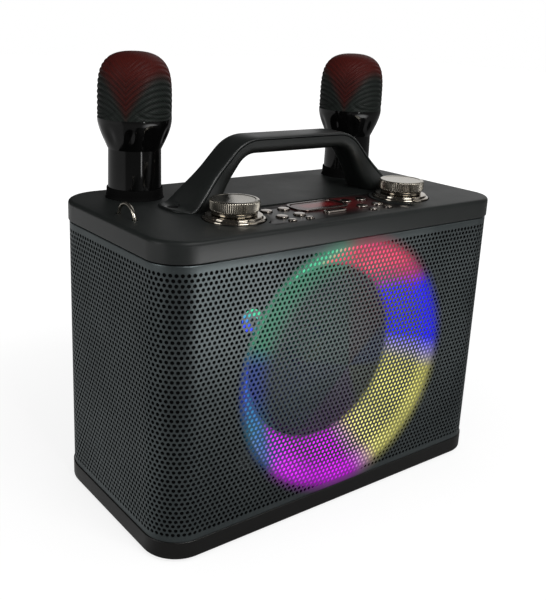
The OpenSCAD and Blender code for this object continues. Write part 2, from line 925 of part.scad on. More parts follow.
// Push button: a cap above the panel and a wider flange held below it
module push_button(column, row) {
    r = row_scale_r[row];
    color([0.7, 0.7, 0.71])
    translate([column_x[column], row_y[row], panel_z]) {
        translate([0, 0, -flange_h])
            cylinder(r = r + flange_out, h = flange_h, $fn = fine);
        cylinder(r = r, h = panel_t + button_rise, $fn = fine);
    }
}

module button_bar() {
    color([0.7, 0.7, 0.71])
    translate([0, bar_y, panel_z]) {
        translate([0, 0, -flange_h])
            linear_extrude(flange_h)
                bar_outline(flange_out);
        linear_extrude(panel_t + button_rise)
            bar_outline(0);
    }
}

// Points on a curve that leaves one line and joins the next at a rounded corner
function bend(before, at, after, cut) =
    let (a = at + (before - at) / norm(before - at) * cut,
        b = at + (after - at) / norm(after - at) * cut)
    [for (i = [0:bend_steps])
        let (t = i / bend_steps)
        (1 - t) * (1 - t) * a + 2 * t * (1 - t) * at + t * t * b];

// Line of one half of the handle through its shoulder and heel
function half_line(middle, shoulder, heel, tip, cut_a, cut_b) =
    concat([middle], bend(middle, shoulder, heel, cut_a), bend(shoulder, heel, tip, cut_b));

// Line of one half that ends at its heel, flat on the cover
function leg_line(middle, shoulder, heel, cut) =
    concat([middle], bend(middle, shoulder, heel, cut), [heel]);

// Round end of a foot: the line goes on flat from a start while the width closes in
function tip_line(start, z) =
    [for (i = [1:tip_steps])
        [start + (handle_half_l - start) * sin(90 * i / tip_steps), z]];

// Whole line from the left tip to the right tip
function both_halves(half) =
    concat([for (i = [len(half) - 1:-1:1]) [-half[i][0], half[i][1]]], half);

// Half the handle's width at a distance from the middle
function half_width(x) =
    let (t = min(1, max(0, (abs(x) - handle_half_l + 38) / 26)),
        w = grip_half_w + (handle_foot_half_w - grip_half_w) * t * t * (3 - 2 * t),
        in_tip = max(0, abs(x) - handle_half_l + tip_r) / tip_r)
    w - tip_r * (1 - sqrt(max(0, 1 - in_tip * in_tip)));

// Rounded half-section: w is half the width, rising from 0 to 1
function crown(w, power) =
    [for (i = [0:crown_steps])
        let (a = 180 * i / crown_steps, c = cos(a))
        [w * sign(c) * pow(abs(c), power), pow(sin(a), 0.75)]];

// Solid skinned over sections, each drawn across the width between two lines.
// The caps list the points of the convex faces that close both ends.
module skin(low, high, sections, caps) {
    n = len(sections[0]);
    last = len(sections) - 1;
    points = [for (s = [0:last], p = sections[s])
        let (q = low[s] + (high[s] - low[s]) * p[1])
        [q[0], handle_y + p[0], q[1]]];
    sides = [for (s = [0:last - 1], i = [0:n - 1])
        let (a = s * n + i, b = s * n + (i + 1) % n)
        each [[a, b, a + n], [b, b + n, a + n]]];
    near = [for (cap = caps) [for (i = [len(cap) - 1:-1:0]) cap[i]]];
    far = [for (cap = caps) [for (i = cap) last * n + i]];
    polyhedron(points, concat(sides, near, far), convexity = 6);
}

// Lines of the handle, as distance from the middle and height
upper_line = both_halves(concat(
    half_line([0, grip_top_z], [handle_half_l - 56, grip_top_z],
        [handle_half_l - handle_lean, body_h + handle_tongue_t],
        [handle_half_l, body_h + handle_tongue_t], 14, heel_cut + 2),
    tip_line(handle_half_l - handle_lean + heel_cut + 2, body_h + handle_tongue_t)));
split_line = both_halves(concat(
    half_line([0, grip_split_z], [handle_half_l - 57, grip_split_z],
        [handle_half_l - handle_lean - 3, body_h], [handle_half_l, body_h], 13, heel_cut),
    tip_line(handle_half_l - handle_lean - 3 + heel_cut, body_h)));
lower_high = both_halves(leg_line([0, grip_split_z], [handle_half_l - 57, grip_split_z],
    [handle_half_l - handle_lean - 3, body_h], 13));
lower_low = both_halves(leg_line([0, grip_under_z], [handle_half_l - 59.5, grip_under_z],
    [handle_half_l - 35, body_h], 10));

// Upper shell of the handle, ending in two flat screwed feet
module handle_top() {
    color([0.11, 0.115, 0.12])
    difference() {
        skin(split_line, upper_line, [for (i = [0:len(upper_line) - 1])
            crown(half_width(split_line[i][0]), 0.45)], [[for (i = [0:crown_steps]) i]]);
        for (side = [-1, 1])
            translate([side * handle_screw_x, handle_y, body_h - overshoot]) {
                cylinder(r = handle_screw_r + fit_gap, h = handle_screw_l, $fn = fine);
                translate([0, 0, overshoot + handle_screw_recess])
                    cylinder(r = handle_screw_head_r + fit_gap, h = handle_screw_l, $fn = mid);
            }
    }
}

// Lower shell: it meets the upper one along a raised middle, with a groove at both edges
module handle_lower() {
    spine = crown_steps + 1;
    caps = [concat([for (i = [0:crown_steps]) i], [spine, spine + 3]),
        [spine, spine + 1, spine + 2, spine + 3]];
    color([0.1, 0.105, 0.11])
    skin(lower_low, lower_high, [for (i = [0:len(lower_low) - 1])
        let (w = half_width(lower_high[i][0]),
            top = 1 - groove / norm(lower_high[i] - lower_low[i]),
            floor = top + groove_draft)
        concat([for (p = crown(w, 0.5)) [-p[0], top * (1 - p[1])]],
            [[w - groove_depth, floor], [w - groove_depth, 1],
                [groove_depth - w, 1], [groove_depth - w, floor]])], caps);
}

module handle_screws() {
    color([0.4, 0.4, 0.42])
    for (side = [-1, 1])
        translate([side * handle_screw_x, handle_y, body_h]) {
            translate([0, 0, handle_screw_recess])
                cylinder(r = handle_screw_head_r, h = handle_screw_head_t, $fn = mid);
            translate([0, 0, handle_screw_recess - handle_screw_l])
                cylinder(r = handle_screw_r, h = handle_screw_l + handle_screw_head_t / 2,
                    $fn = fine);
        }
}

// Wire arch with a bar below the cover that holds it down
module strap_loop() {
    bend_z = body_h - loop_sink;
    color([0.62, 0.62, 0.64])
    translate([loop_x, loop_y, 0]) {
        translate([0, 0, bend_z])
            rotate([90, 0, 90])
                rotate_extrude(angle = 180, $fn = mid)
                    translate([loop_r, 0])
                        circle(loop_wire_r, $fn = fine);
        for (side = [-1, 1])
            translate([0, side * loop_r, cover_plate_z - loop_bar_t])
                cylinder(r = loop_wire_r, h = bend_z - cover_plate_z + loop_bar_t, $fn = fine);
        translate([0, 0, cover_plate_z - loop_bar_t / 2])
            cube([6, 2 * loop_r + 6, loop_bar_t], center = true);
    }
}

// Cup that a microphone stands in, with a raised lip and a flange below the plate
module mic_well(side) {
    color([0.02, 0.02, 0.022])
    translate([side * mic_x, mic_y, mic_foot_z - well_floor_t])
        difference() {
            union() {
                cylinder(r = well_r, h = well_floor_t + well_depth + well_lip_h, $fn = wide);
                translate([0, 0, well_floor_t + well_depth - cover_plate_t - well_flange_t])
                    cylinder(r = well_r + 1.4, h = well_flange_t, $fn = wide);
            }
            translate([0, 0, well_floor_t])
                cylinder(r = well_in_r, h = well_depth + well_lip_h + overshoot, $fn = wide);
        }
}

// Puts a microphone's piece on the axis of its well
module at_mic(side) {
    translate([side * mic_x, mic_y, 0])
        children();
}

// Outer radius of the wire basket at a height above its foot
function basket_r(z) = mic_head_r * pow(max(0, 1 - pow(z / basket_h, 5)), 0.4);

// Domed basket with ring ridges, a hollow shell over the capsule
module mic_basket(side) {
    rib_top = 0.74 * basket_h;
    steps = 2 * basket_rings;
    ribs = [for (i = [0:steps])
        let (z = rib_top * i / steps)
        [basket_r(z) - (i % 2) * ring_depth, z]];
    dome = [for (a = [22.5:22.5:90])
        let (z = rib_top + (basket_h - rib_top) * sin(a))
        [basket_r(z), z]];
    inside = [for (a = [90:-30:0])
        let (z = (basket_h - basket_wall) * sin(a))
        [max(0, basket_r(z + basket_wall * sin(a)) - ring_depth - basket_wall), z]];
    color([0.12, 0.05, 0.045])
    at_mic(side)
        translate([0, 0, basket_z])
            rotate_extrude($fn = mid)
                polygon(concat(ribs, dome, inside));
}

// Collar that narrows from the basket to the body on a cosine curve
module mic_collar(side) {
    steps = 5;
    curve = [for (i = [0:steps])
        let (s = i / steps)
        [collar_low_r + (mic_head_r - collar_low_r) * cos(90 * pow(1 - s, 0.92)), collar_h * s]];
    color([0.03, 0.03, 0.035])
    at_mic(side)
        translate([0, 0, mic_neck_z])
            rotate_extrude($fn = mid)
                polygon(concat([[0, 0]], curve, [[0, collar_h]]));
}

module mic_body(side) {
    color([0.05, 0.05, 0.055])
    at_mic(side)
        difference() {
            translate([0, 0, mic_foot_z + mic_tail_h])
                cylinder(r1 = mic_body_r, r2 = mic_neck_r,
                    h = mic_neck_z - mic_foot_z - mic_tail_h, $fn = wide);
            translate([0, mic_button_land - mic_chamber_h, mic_button_z])
                rotate([-90, 0, 0]) {
                    cylinder(r = mic_button_r + 1 + fit_gap, h = mic_chamber_h, $fn = mid);
                    cylinder(r = mic_button_r + fit_gap, h = mic_body_r, $fn = mid);
                }
        }
}

module mic_tail(side) {
    color([0.02, 0.02, 0.02])
    at_mic(side)
        translate([0, 0, mic_foot_z]) {
            cylinder(r1 = mic_body_r - 1.5, r2 = mic_body_r, h = 1.5, $fn = wide);
            translate([0, 0, 1.5])
                cylinder(r = mic_body_r, h = mic_tail_h - 1.5, $fn = wide);
        }
}

// Power button on the far side of a microphone's body, held by a flange inside
module mic_button(side) {
    color([0.3, 0.3, 0.31])
    at_mic(side)
        translate([0, mic_button_land, mic_button_z])
            rotate([-90, 0, 0]) {
                translate([0, 0, -mic_button_flange])
                    cylinder(r = mic_button_r + 1, h = mic_button_flange, $fn = mid);
                cylinder(r = mic_button_r, h = mic_body_r - mic_button_land + 0.8, $fn = mid);
            }
}

base_tray();
rubber_feet();
cabinet();
grille();
light_funnel();
led_ring_board();
driver_frame();
driver_surround();
driver_cone();
dust_cap();
driver_magnet();
speaker_screws();
rear_panel();
rear_panel_screws();
power_rocker();
charge_socket();
usb_port();
aux_socket();
mic_jack();
main_board();
battery_pack();
top_cover();
control_panel();
control_board();
display_bezel();
display_window();
knob_bezel(-1);  // knob_bezel_left
knob_bezel(1);  // knob_bezel_right
knob(-1);  // knob_left
knob(1);  // knob_right
button_bar();
push_button(0, 0);  // button_a1
push_button(1, 0);  // button_a2
push_button(2, 0);  // button_a3
push_button(3, 0);  // button_a4
push_button(0, 1);  // button_b1
push_button(1, 1);  // button_b2
push_button(2, 1);  // button_b3
push_button(3, 1);  // button_b4
push_button(0, 2);  // button_c1
push_button(1, 2);  // button_c2
push_button(2, 2);  // button_c3
push_button(3, 2);  // button_c4
handle_top();
handle_lower();
handle_screws();
strap_loop();
mic_well(-1);  // mic_well_left
mic_well(1);  // mic_well_right
mic_basket(-1);  // mic_left_basket
mic_collar(-1);  // mic_left_collar
mic_body(-1);  // mic_left_body
mic_tail(-1);  // mic_left_tail
mic_button(-1);  // mic_left_button
mic_basket(1);  // mic_right_basket
mic_collar(1);  // mic_right_collar
mic_body(1);  // mic_right_body
mic_tail(1);  // mic_right_tail
mic_button(1);  // mic_right_button
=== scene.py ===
# %% [markdown]
# A portable karaoke speaker: a box wrapped in perforated steel, a ring of coloured light round the
# driver, a bridge handle, a panel of chrome controls and cordless microphones in wells.
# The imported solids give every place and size. This script dresses them: each piece is a surface
# worked out with numpy, and each finish is a small network of shader nodes.

import math

import bmesh
import bpy
import numpy as np
from mathutils import Matrix, Vector


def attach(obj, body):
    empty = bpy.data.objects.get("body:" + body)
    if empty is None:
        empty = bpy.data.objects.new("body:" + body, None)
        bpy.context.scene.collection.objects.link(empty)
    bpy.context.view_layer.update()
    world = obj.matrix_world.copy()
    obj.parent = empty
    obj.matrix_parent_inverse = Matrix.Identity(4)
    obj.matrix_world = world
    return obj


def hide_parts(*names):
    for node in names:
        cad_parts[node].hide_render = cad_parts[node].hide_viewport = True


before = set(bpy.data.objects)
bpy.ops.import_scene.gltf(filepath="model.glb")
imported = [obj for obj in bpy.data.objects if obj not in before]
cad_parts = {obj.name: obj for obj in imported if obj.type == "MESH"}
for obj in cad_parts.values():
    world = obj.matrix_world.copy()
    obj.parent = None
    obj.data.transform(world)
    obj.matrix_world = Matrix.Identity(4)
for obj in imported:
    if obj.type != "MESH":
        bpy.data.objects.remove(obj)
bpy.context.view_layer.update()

# %% [markdown]
# The camera stands where the photographer stood. Its place and turn were found by matching the
# corners of the body, and a small lens shift moves the picture's middle to the right spot.

# %% Camera
scene = bpy.context.scene
scene.view_settings.view_transform = "Standard"

FOCAL_PIXELS = 820.9
PICTURE_W, PICTURE_H = 546, 600
AXIS_PIXEL = (254.36, 256.75)
CAMERA_PLACE = (-0.3918, -0.4772, 0.3507)
AZIMUTH, ELEVATION, ROLL = -37.2245, 16.1356, 2.3947


def added(name, data):
    """A new object in the scene."""
    thing = bpy.data.objects.new(name, data)
    scene.collection.objects.link(thing)
    return thing


def turn(degrees, axis):
    return Matrix.Rotation(math.radians(degrees), 4, axis)


camera = added("camera", bpy.data.cameras.new("camera"))
scene.camera = camera
camera.matrix_world = Matrix.Translation(CAMERA_PLACE) @ turn(AZIMUTH, "Z") @ turn(
    90 - ELEVATION, "X") @ turn(ROLL, "Z")
camera.data.lens = FOCAL_PIXELS / PICTURE_H * camera.data.sensor_width
camera.data.shift_x = (PICTURE_W / 2 - AXIS_PIXEL[0]) / PICTURE_H
camera.data.shift_y = (AXIS_PIXEL[1] - PICTURE_H / 2) / PICTURE_H
camera.data.clip_start, camera.data.clip_end = 0.01, 50
print("lens", round(camera.data.lens, 2), "shift", round(camera.data.shift_x, 4),
      round(camera.data.shift_y, 4))

# %% [markdown]
# Shader networks read best as sums. One small class wraps a socket, so that an expression such as
# 1 - mask * 0.4 adds its Math nodes by itself, and one method adds every other kind of node.

# %% A socket that takes part in arithmetic
MM = 0.001


class Wire:
    """A node's output. Each operator on it adds one Math node and gives that node's output."""

    def __init__(self, paint, socket):
        self.paint, self.socket = paint, socket

    def math(self, operation, *others):
        return self.paint.node("Math", {"operation": operation},
                               dict(enumerate((self, *others))))

    def __add__(self, other):
        return self.math("ADD", other)

    def __sub__(self, other):
        return self.math("SUBTRACT", other)

    def __rsub__(self, other):
        return self.paint.node("Math", {"operation": "SUBTRACT"}, {0: other, 1: self})

    def __mul__(self, other):
        return self.math("MULTIPLY", other)

    def __truediv__(self, other):
        return self.math("DIVIDE", other)

    def __pow__(self, other):
        return self.math("POWER", other)

    __radd__ = __add__
    __rmul__ = __mul__

    def smooth(self, low, high):
        """0 below low, 1 above high and an S-shaped step between them."""
        return self.paint.node("MapRange", {"interpolation_type": "SMOOTHSTEP"},
                               {0: self, 1: low, 2: high, 3: 0.0, 4: 1.0})


class Paint:
    """One material's node tree, with the object's own coordinates in millimetres to hand."""

    def __init__(self, name, owner=None):
        self.material = owner or bpy.data.materials.new(name)
        self.material.use_nodes = True
        self.tree = self.material.node_tree
        self.tree.nodes.clear()
        self.spot = None

    def node(self, kind, settings=None, values=None, out=0):
        """Adds a node of a kind, with its settings and the values or wires of its inputs."""
        made = self.tree.nodes.new("ShaderNode" + kind)
        settings = dict(settings or {})
        stops = settings.pop("stops", None)
        for key, value in settings.items():
            setattr(made, key, value)
        if stops:
            ramp = made.color_ramp.elements
            while len(ramp) < len(stops):
                ramp.new(0.5)
            for element, (position, colour) in zip(ramp, stops):
                element.position, element.color = position, colour
        for key, value in (values or {}).items():
            socket = made.inputs[key]
            if isinstance(value, Wire):
                self.tree.links.new(value.socket, socket)
            else:
                socket.default_value = value
        return Wire(self, made.outputs[out])

    def outputs(self, kind, *names):
        """Several outputs of one new node, by name."""
        made = self.node(kind).socket.node
        return [Wire(self, made.outputs[name]) for name in names]

    def mix(self, amount, a, b):
        return self.node("Mix", {"data_type": "RGBA"}, {0: amount, 6: a, 7: b}, 2)

    def place(self):
        """Object coordinates, in millimetres."""
        if self.spot is None:
            raw = self.node("TexCoord", out=3)
            self.spot = self.node("VectorMath", {"operation": "SCALE"},
                                  {0: raw, "Scale": 1 / MM})
        return self.spot

    def axis(self, index):
        return self.node("SeparateXYZ", None, {0: self.place()}, index)

    def noise(self, size, detail=3.0, rough=0.5):
        """Cloudy numbers about 0.5, whose lumps are size millimetres across."""
        return self.node("TexNoise", None, {
            "Vector": self.place(), "Scale": 1.0 / size, "Detail": detail, "Roughness": rough})

    def bump(self, height, depth, strength):
        """The surface's direction as bent by a relief, depth millimetres deep."""
        return self.node("Bump", None, {"Height": height, "Distance": depth * MM, "Strength": strength})

    def finish(self, **values):
        """Adds the Principled shader; a keyword with _ for a space names each of its sockets."""
        names = {key.replace("_", " "): value for key, value in values.items()}
        return self.surface(self.node("BsdfPrincipled", None, names))

    def surface(self, shader, end="OutputMaterial"):
        self.tree.links.new(shader.socket, self.tree.nodes.new("ShaderNode" + end).inputs["Surface"])
        return self.material


def tone(red, green, blue):
    """A screen colour, 0 to 255, as the linear light that Blender's sockets take."""
    c = np.array([red, green, blue]) / 255
    linear = np.where(c <= 0.04045, c / 12.92, ((c + 0.055) / 1.055) ** 2.4)
    return (*(float(v) for v in linear), 1.0)


def times(colour, factor, lift=0.0):
    """A colour made lighter or darker by a factor, then lifted."""
    return [min(1, c * factor + lift) for c in colour[:3]] + [1]


def length(x, y):
    """How far (x, y) lies from (0, 0): the root of x^2 + y^2."""
    return (x * x + y * y).math("SQRT")


BLACK, WHITE = (0, 0, 0, 1), (1, 1, 1, 1)
print("a mid grey of 128 is", round(tone(128, 128, 128)[0], 3), "in linear light")

# %% [markdown]
# New pieces are grids of points, ring after ring. The helpers below number a grid's faces, weld
# its poles and put whole arrays into a mesh, so no loop ever runs over single vertices.

# %% Mesh helpers
def grid(rows, columns):
    """Quads between the rows of a point grid, each row a ring of points that closes on itself."""
    i, j = np.arange(rows - 1)[:, None] * columns, np.arange(columns)
    j2 = (j + 1) % columns
    return np.stack([i + j, i + j2, i + columns + j2, i + columns + j], -1).reshape(-1, 4)


def capped(rows, columns):
    """The same quads and a flat face over the first ring and over the last."""
    ring = np.arange(columns)[None]
    return [grid(rows, columns), ring[:, ::-1], (rows - 1) * columns + ring]


def weld(points, quads):
    """Equal points become one; a quad that lost a corner becomes a triangle, a lost one goes."""
    keys, index = np.unique(np.round(points, 4), axis=0, return_inverse=True)
    quads = index.reshape(-1)[quads]
    same = quads == np.roll(quads, -1, axis=1)
    full, short = quads[same.sum(1) == 0], quads[same.sum(1) == 1]
    kept = ~same[same.sum(1) == 1]
    return keys, [full, short[kept].reshape(-1, 3)]


def build(name, points, groups):
    """An object from points in millimetres and groups of faces with equally many corners each."""
    groups = [np.asarray(g) for g in groups if len(g)]
    sizes = np.concatenate([np.full(len(g), g.shape[1]) for g in groups])
    corners = np.concatenate([g.reshape(-1) for g in groups])
    mesh = bpy.data.meshes.new(name)
    mesh.vertices.add(len(points))
    mesh.vertices.foreach_set("co", (np.asarray(points, float) * MM).astype(np.float32).ravel())
    mesh.loops.add(len(corners))
    mesh.loops.foreach_set("vertex_index", corners.astype(np.int32))
    mesh.polygons.add(len(sizes))
    mesh.polygons.foreach_set("loop_start", np.concatenate([[0], np.cumsum(sizes)[:-1]]).astype(np.int32))
    mesh.update(calc_edges=True)
    mesh.validate()
    return added(name, mesh)


def dress(piece, material, body, hides=(), angle=35):
    """Material, smooth shading with sharp edges past an angle, and what the piece rides on."""
    piece.data.materials.clear()
    piece.data.materials.append(material)
    piece.data.shade_smooth()
    piece.data.set_sharp_from_angle(angle=math.radians(angle))
    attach(piece, body)
    if hides:
        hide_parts(*hides)


def rounded_corner(before, at, after, cut, steps):
    """Leaves one line and joins the next on a curve: (1-t)^2 a + 2 t (1-t) corner + t^2 b."""
    before, at, after = (np.array(p, float) for p in (before, at, after))
    t = np.linspace(0, 1, steps + 1)[:, None]
    a = at + (before - at) / np.linalg.norm(before - at) * cut
    b = at + (after - at) / np.linalg.norm(after - at) * cut
    return (1 - t) ** 2 * a + 2 * t * (1 - t) * at + t ** 2 * b


def soft_path(corners, steps=5):
    """A path through (x, y, r) corners, each rounded by a curve that starts r before it."""
    pts = np.array(corners, float)
    middle = [rounded_corner(a[:2], b[:2], c[:2], b[2], steps) if b[2] else b[None, :2]
              for a, b, c in zip(pts[:-2], pts[1:-1], pts[2:])]
    return np.concatenate([pts[:1, :2], *middle, pts[-1:, :2]])


def about(centre, r, a, h):
    """Points at a radius, an angle and a height about an upright line, as one list."""
    sides = np.broadcast_arrays(centre[0] + r * np.cos(a), centre[1] + r * np.sin(a), h)
    return np.stack(sides, -1).reshape(-1, 3)


def turned(profile, steps, centre, change=None):
    """Revolves (radius, height) pairs, listed from the bottom up the outside, about an upright line.
    change(radius, height, angle) may move the radius, as for ribs and dents."""
    profile = np.asarray(profile, float)
    angle = np.arange(steps) * 2 * np.pi / steps
    r, a = np.meshgrid(profile[:, 0], angle, indexing="ij")
    h = np.repeat(profile[:, 1][:, None], steps, 1)
    if change is not None:
        r = change(r, h, a)
    return weld(about(centre, r, a, h), grid(len(profile), steps))


def run(path):
    """How far along a path each of its points lies."""
    return np.concatenate([[0], np.cumsum(np.linalg.norm(np.diff(path, axis=0), axis=1))])


def even(path, step):
    """The same path with its points an equal distance apart."""
    s = run(path)
    t = np.linspace(0, s[-1], int(round(s[-1] / step)) + 1)
    return np.stack([np.interp(t, s, path[:, k]) for k in (0, 1)], 1)


def carve(piece, *cutters):
    """Takes the cutters, which are closed shells, out of a piece and deletes them."""
    for cutter in cutters:
        tool = piece.modifiers.new("carve", "BOOLEAN")
        tool.operation, tool.solver, tool.object = "DIFFERENCE", "EXACT", cutter
    carved = piece.evaluated_get(bpy.context.evaluated_depsgraph_get())
    piece.data = bpy.data.meshes.new_from_object(carved)
    piece.modifiers.clear()
    for cutter in cutters:
        bpy.data.objects.remove(cutter)


def drill(radius, low, high, centre, steps=64):
    """An upright cylinder that carves a round hole."""
    return build("cut", *turned([[0, low], [radius, low], [radius, high], [0, high]], steps, centre))


print("helpers ready; a 3 x 4 wrapped grid has", len(grid(3, 4)), "faces")

# %% [markdown]
# The studio is a pale floor, a white surround that the camera and shiny things see, and soft
# lamps. What gloss shows of it is uneven, as in a real room: white behind to the right, dark
# elsewhere, and on the floor a bright card in front and a dim one behind to the left. That is what
# draws the rounded corner of a dark moulding, because satin plastic is seen by what it reflects.

# %% Surround
world = bpy.data.worlds.new("studio")
scene.world = world
sky = Paint("studio", world)
camera_ray, glossy_ray, through_ray = sky.outputs(
    "LightPath", "Is Camera Ray", "Is Glossy Ray", "Is Transmission Ray")
look = sky.node("TexCoord", out=0)
right, back = (sky.node("VectorMath", {"operation": "DOT_PRODUCT"}, {0: look, 1: way}, 1)
               for way in ((1.0, 0.0, 0.0), (0.0, 1.0, 0.0)))
AMBIENT = 0.55
backdrop = right.smooth(0.40, 0.64) * back.smooth(0.0, 0.3) * 0.8 + 0.04
seen = camera_ray.math("MAXIMUM", through_ray)
level = seen + (1 - seen) * (glossy_ray * backdrop + (1 - glossy_ray) * AMBIENT)
sky.surface(sky.node("Background", None, {"Color": WHITE, "Strength": level}),
            "OutputWorld")
print("light from the surround:", AMBIENT)

# %% Floor
# The floor lies a hair under the feet and lets the camera look through it from below.
FLOOR_HALF, FLOOR_Z, FLOOR_GREY = 6000.0, -0.05, 0.22
SHADE_UNDER, BRIGHT_CARD, DIM_CARD = 0.2, 3.3, 0.20
floor = build("floor", FLOOR_HALF * np.array([[-1, -1, 0], [1, -1, 0], [1, 1, 0], [-1, 1, 0]])
              + [0, 0, FLOOR_Z], [[[0, 1, 2, 3]]])
ground = Paint("floor_paint")
x, y = ground.axis(0), ground.axis(1)


def near_spot(at_x, at_y, inner, outer):
    """1 within inner millimetres of a spot on the floor, falling to 0 at outer."""
    return 1 - length(x - at_x, y - at_y).smooth(inner, outer)


floor_seen, floor_gloss = ground.outputs("LightPath", "Is Camera Ray", "Is Glossy Ray")
from_below, = ground.outputs("NewGeometry", "Backfacing")
white_level = 1.0 - near_spot(0, 0, 150, 800) * SHADE_UNDER
reach = length(x, y)
left_back = (y * 0.72 - x * 0.69) / reach
cards = (near_spot(195, -640, 100, 410) * BRIGHT_CARD).math(
    "MAXIMUM", left_back.smooth(0.36, 0.5) * (reach.smooth(800, 1300) * 0.1 + DIM_CARD))
matte = ground.node("BsdfDiffuse", None, {"Color": (*[FLOOR_GREY] * 3, 1)})
bright = ground.node("Emission", None, {
    "Color": WHITE, "Strength": floor_seen * white_level + floor_gloss * cards})
floor.data.materials.append(ground.surface(ground.node("MixShader", None, {
    0: floor_seen * from_below, 1: ground.node("AddShader", None, {0: matte, 1: bright}),
    2: ground.node("BsdfTransparent")})))
print("floor:", 2 * FLOOR_HALF * MM, "m square")


# %% Lamps
def lamp(name, place, aim, size, power):
    """A soft rectangular light (width, height in metres) that faces a point; power in watts."""
    data = bpy.data.lights.new(name, "AREA")
    data.shape, data.size, data.size_y = "RECTANGLE", *size
    data.energy = power
    turn = (Vector(aim) - Vector(place)).to_track_quat("-Z", "Y")
    added(name, data).matrix_world = Matrix.Translation(place) @ turn.to_matrix().to_4x4()


lamp("key", (-0.02, -0.70, 0.78), (-0.03, 0, 0.12), (0.45, 0.3), 5.2)
lamp("side", (-1.3, 0.1, 0.6), (0, 0, 0.15), (0.5, 0.5), 3.6)
lamp("strip", (-0.10, -1.35, 0.04), (0, 0, 0.2), (0.10, 0.10), 0.22)
lamp("fill", (1.0, -1.2, 0.9), (0, 0, 0.12), (0.8, 0.8), 2.4)

# %% [markdown]
# The body's plan is two straight fronts and sides joined by quarter circles, wider at the back.
# The base, the wrapped sheet and the cover all follow it, so it is worked out once: a distance
# along it gives a point and the outward direction, and an inset simply steps back along that.

# %% The plan outline
BODY_W, BODY_D, BODY_H = 310.0, 162.0, 222.0
FRONT_R, REAR_R = 26.0, 33.0
BASE_TOP, COVER_BOTTOM = 15.0, 207.5


def along_outline(s, inset=0.0):
    """Runs of the outline, inset and in order from the middle of the front: a run has a start or
    centre, the outward angle where it starts, a radius (0 is straight) and a length. The point is
    centre + radius * n on a quarter circle and start + distance * tangent on a straight."""
    w, d, f, r = BODY_W / 2, BODY_D / 2, FRONT_R, REAR_R
    q = np.pi / 2
    runs = np.array([
        [0, inset - d, -q, 0, w - f], [w - f, f - d, -q, f - inset, q * (f - inset)],
        [w - inset, f - d, 0, 0, 2 * d - f - r], [w - r, d - r, 0, r - inset, q * (r - inset)],
        [w - r, d - inset, q, 0, 2 * (w - r)], [r - w, d - r, q, r - inset, q * (r - inset)],
        [inset - w, d - r, 2 * q, 0, 2 * d - f - r], [f - w, f - d, 2 * q, f - inset, q * (f - inset)],
        [f - w, inset - d, 3 * q, 0, w - f]])
    starts = np.concatenate([[0], np.cumsum(runs[:, 4])])
    k = np.clip(np.searchsorted(starts, s, side="right") - 1, 0, len(runs) - 1)
    x, y, a, radius, _ = runs[k].T
    t = s - starts[k]
    round_part = radius > 0
    angle = a + np.where(round_part, t / np.where(round_part, radius, 1), 0)
    n = np.stack([np.cos(angle), np.sin(angle)], 1)
    tangent = np.stack([-n[:, 1], n[:, 0]], 1)
    place = np.stack([x, y], 1) + n * radius[:, None] + tangent * np.where(round_part, 0, t)[:, None]
    return place, n, starts


def outline_length(inset=0.0):
    return float(along_outline(np.zeros(1), inset)[2][-1])


def body_stations(arc_steps=20):
    """Points and outward directions at the ends of each straight and arc_steps to each corner."""
    starts = along_outline(np.zeros(1))[2]
    stops = [np.linspace(a, b, arc_steps if i % 2 else 1, endpoint=False)
             for i, (a, b) in enumerate(zip(starts[:-1], starts[1:]))]
    return along_outline(np.concatenate(stops))[:2]


STATION, OUTWARD = body_stations()


def stacked(plan, profile):
    """A closed solid from (inset, height) pairs: plan(inset) is its ring of points at each height."""
    rings = [plan(inset) for inset, _ in profile]
    k = len(rings[0])
    points = np.concatenate([np.column_stack([ring, np.full(k, z)]) for ring, (_, z) in zip(rings, profile)])
    return points, capped(len(profile), k)


def body_plan(inset):
    """The body's plan: a point is station - inset * outward."""
    return STATION - inset * OUTWARD


print("outline length", round(outline_length(), 1), "mm,", len(STATION), "stations")

# %% [markdown]
# The wrapped sheet is the face of this machine: painted steel, punched all over with round holes in
# staggered rows, bent round four corners and closed at the back. Cutting twelve thousand holes by
# booleans would take minutes, so the holes are drawn straight into the grid. Each cell is a small
# rectangle with an eight-sided hole, and as every second row is shifted by half a cell, a cell's
# corners meet the middles of its neighbours' edges. The flat pattern is then wrapped round the plan.

# %% The punched sheet
SHEET_OUT, SHEET_T = 0.8, 0.6
HOLES_ROUND, HOLE_ROWS = 232, 55
HOLE_R = 1.38
SHEET_TOP = COVER_BOTTOM - 0.8
ROLLED = 0.9
ROW_PITCH, FIRST_ROW_Z = 3.335, 20.4
SHEET_LENGTH = outline_length(SHEET_OUT)
HALF_CELL = SHEET_LENGTH / HOLES_ROUND / 2
WINDOW_Z, WINDOW_HALF_W, WINDOW_HALF_H = 62.0, 65.3, 26.3


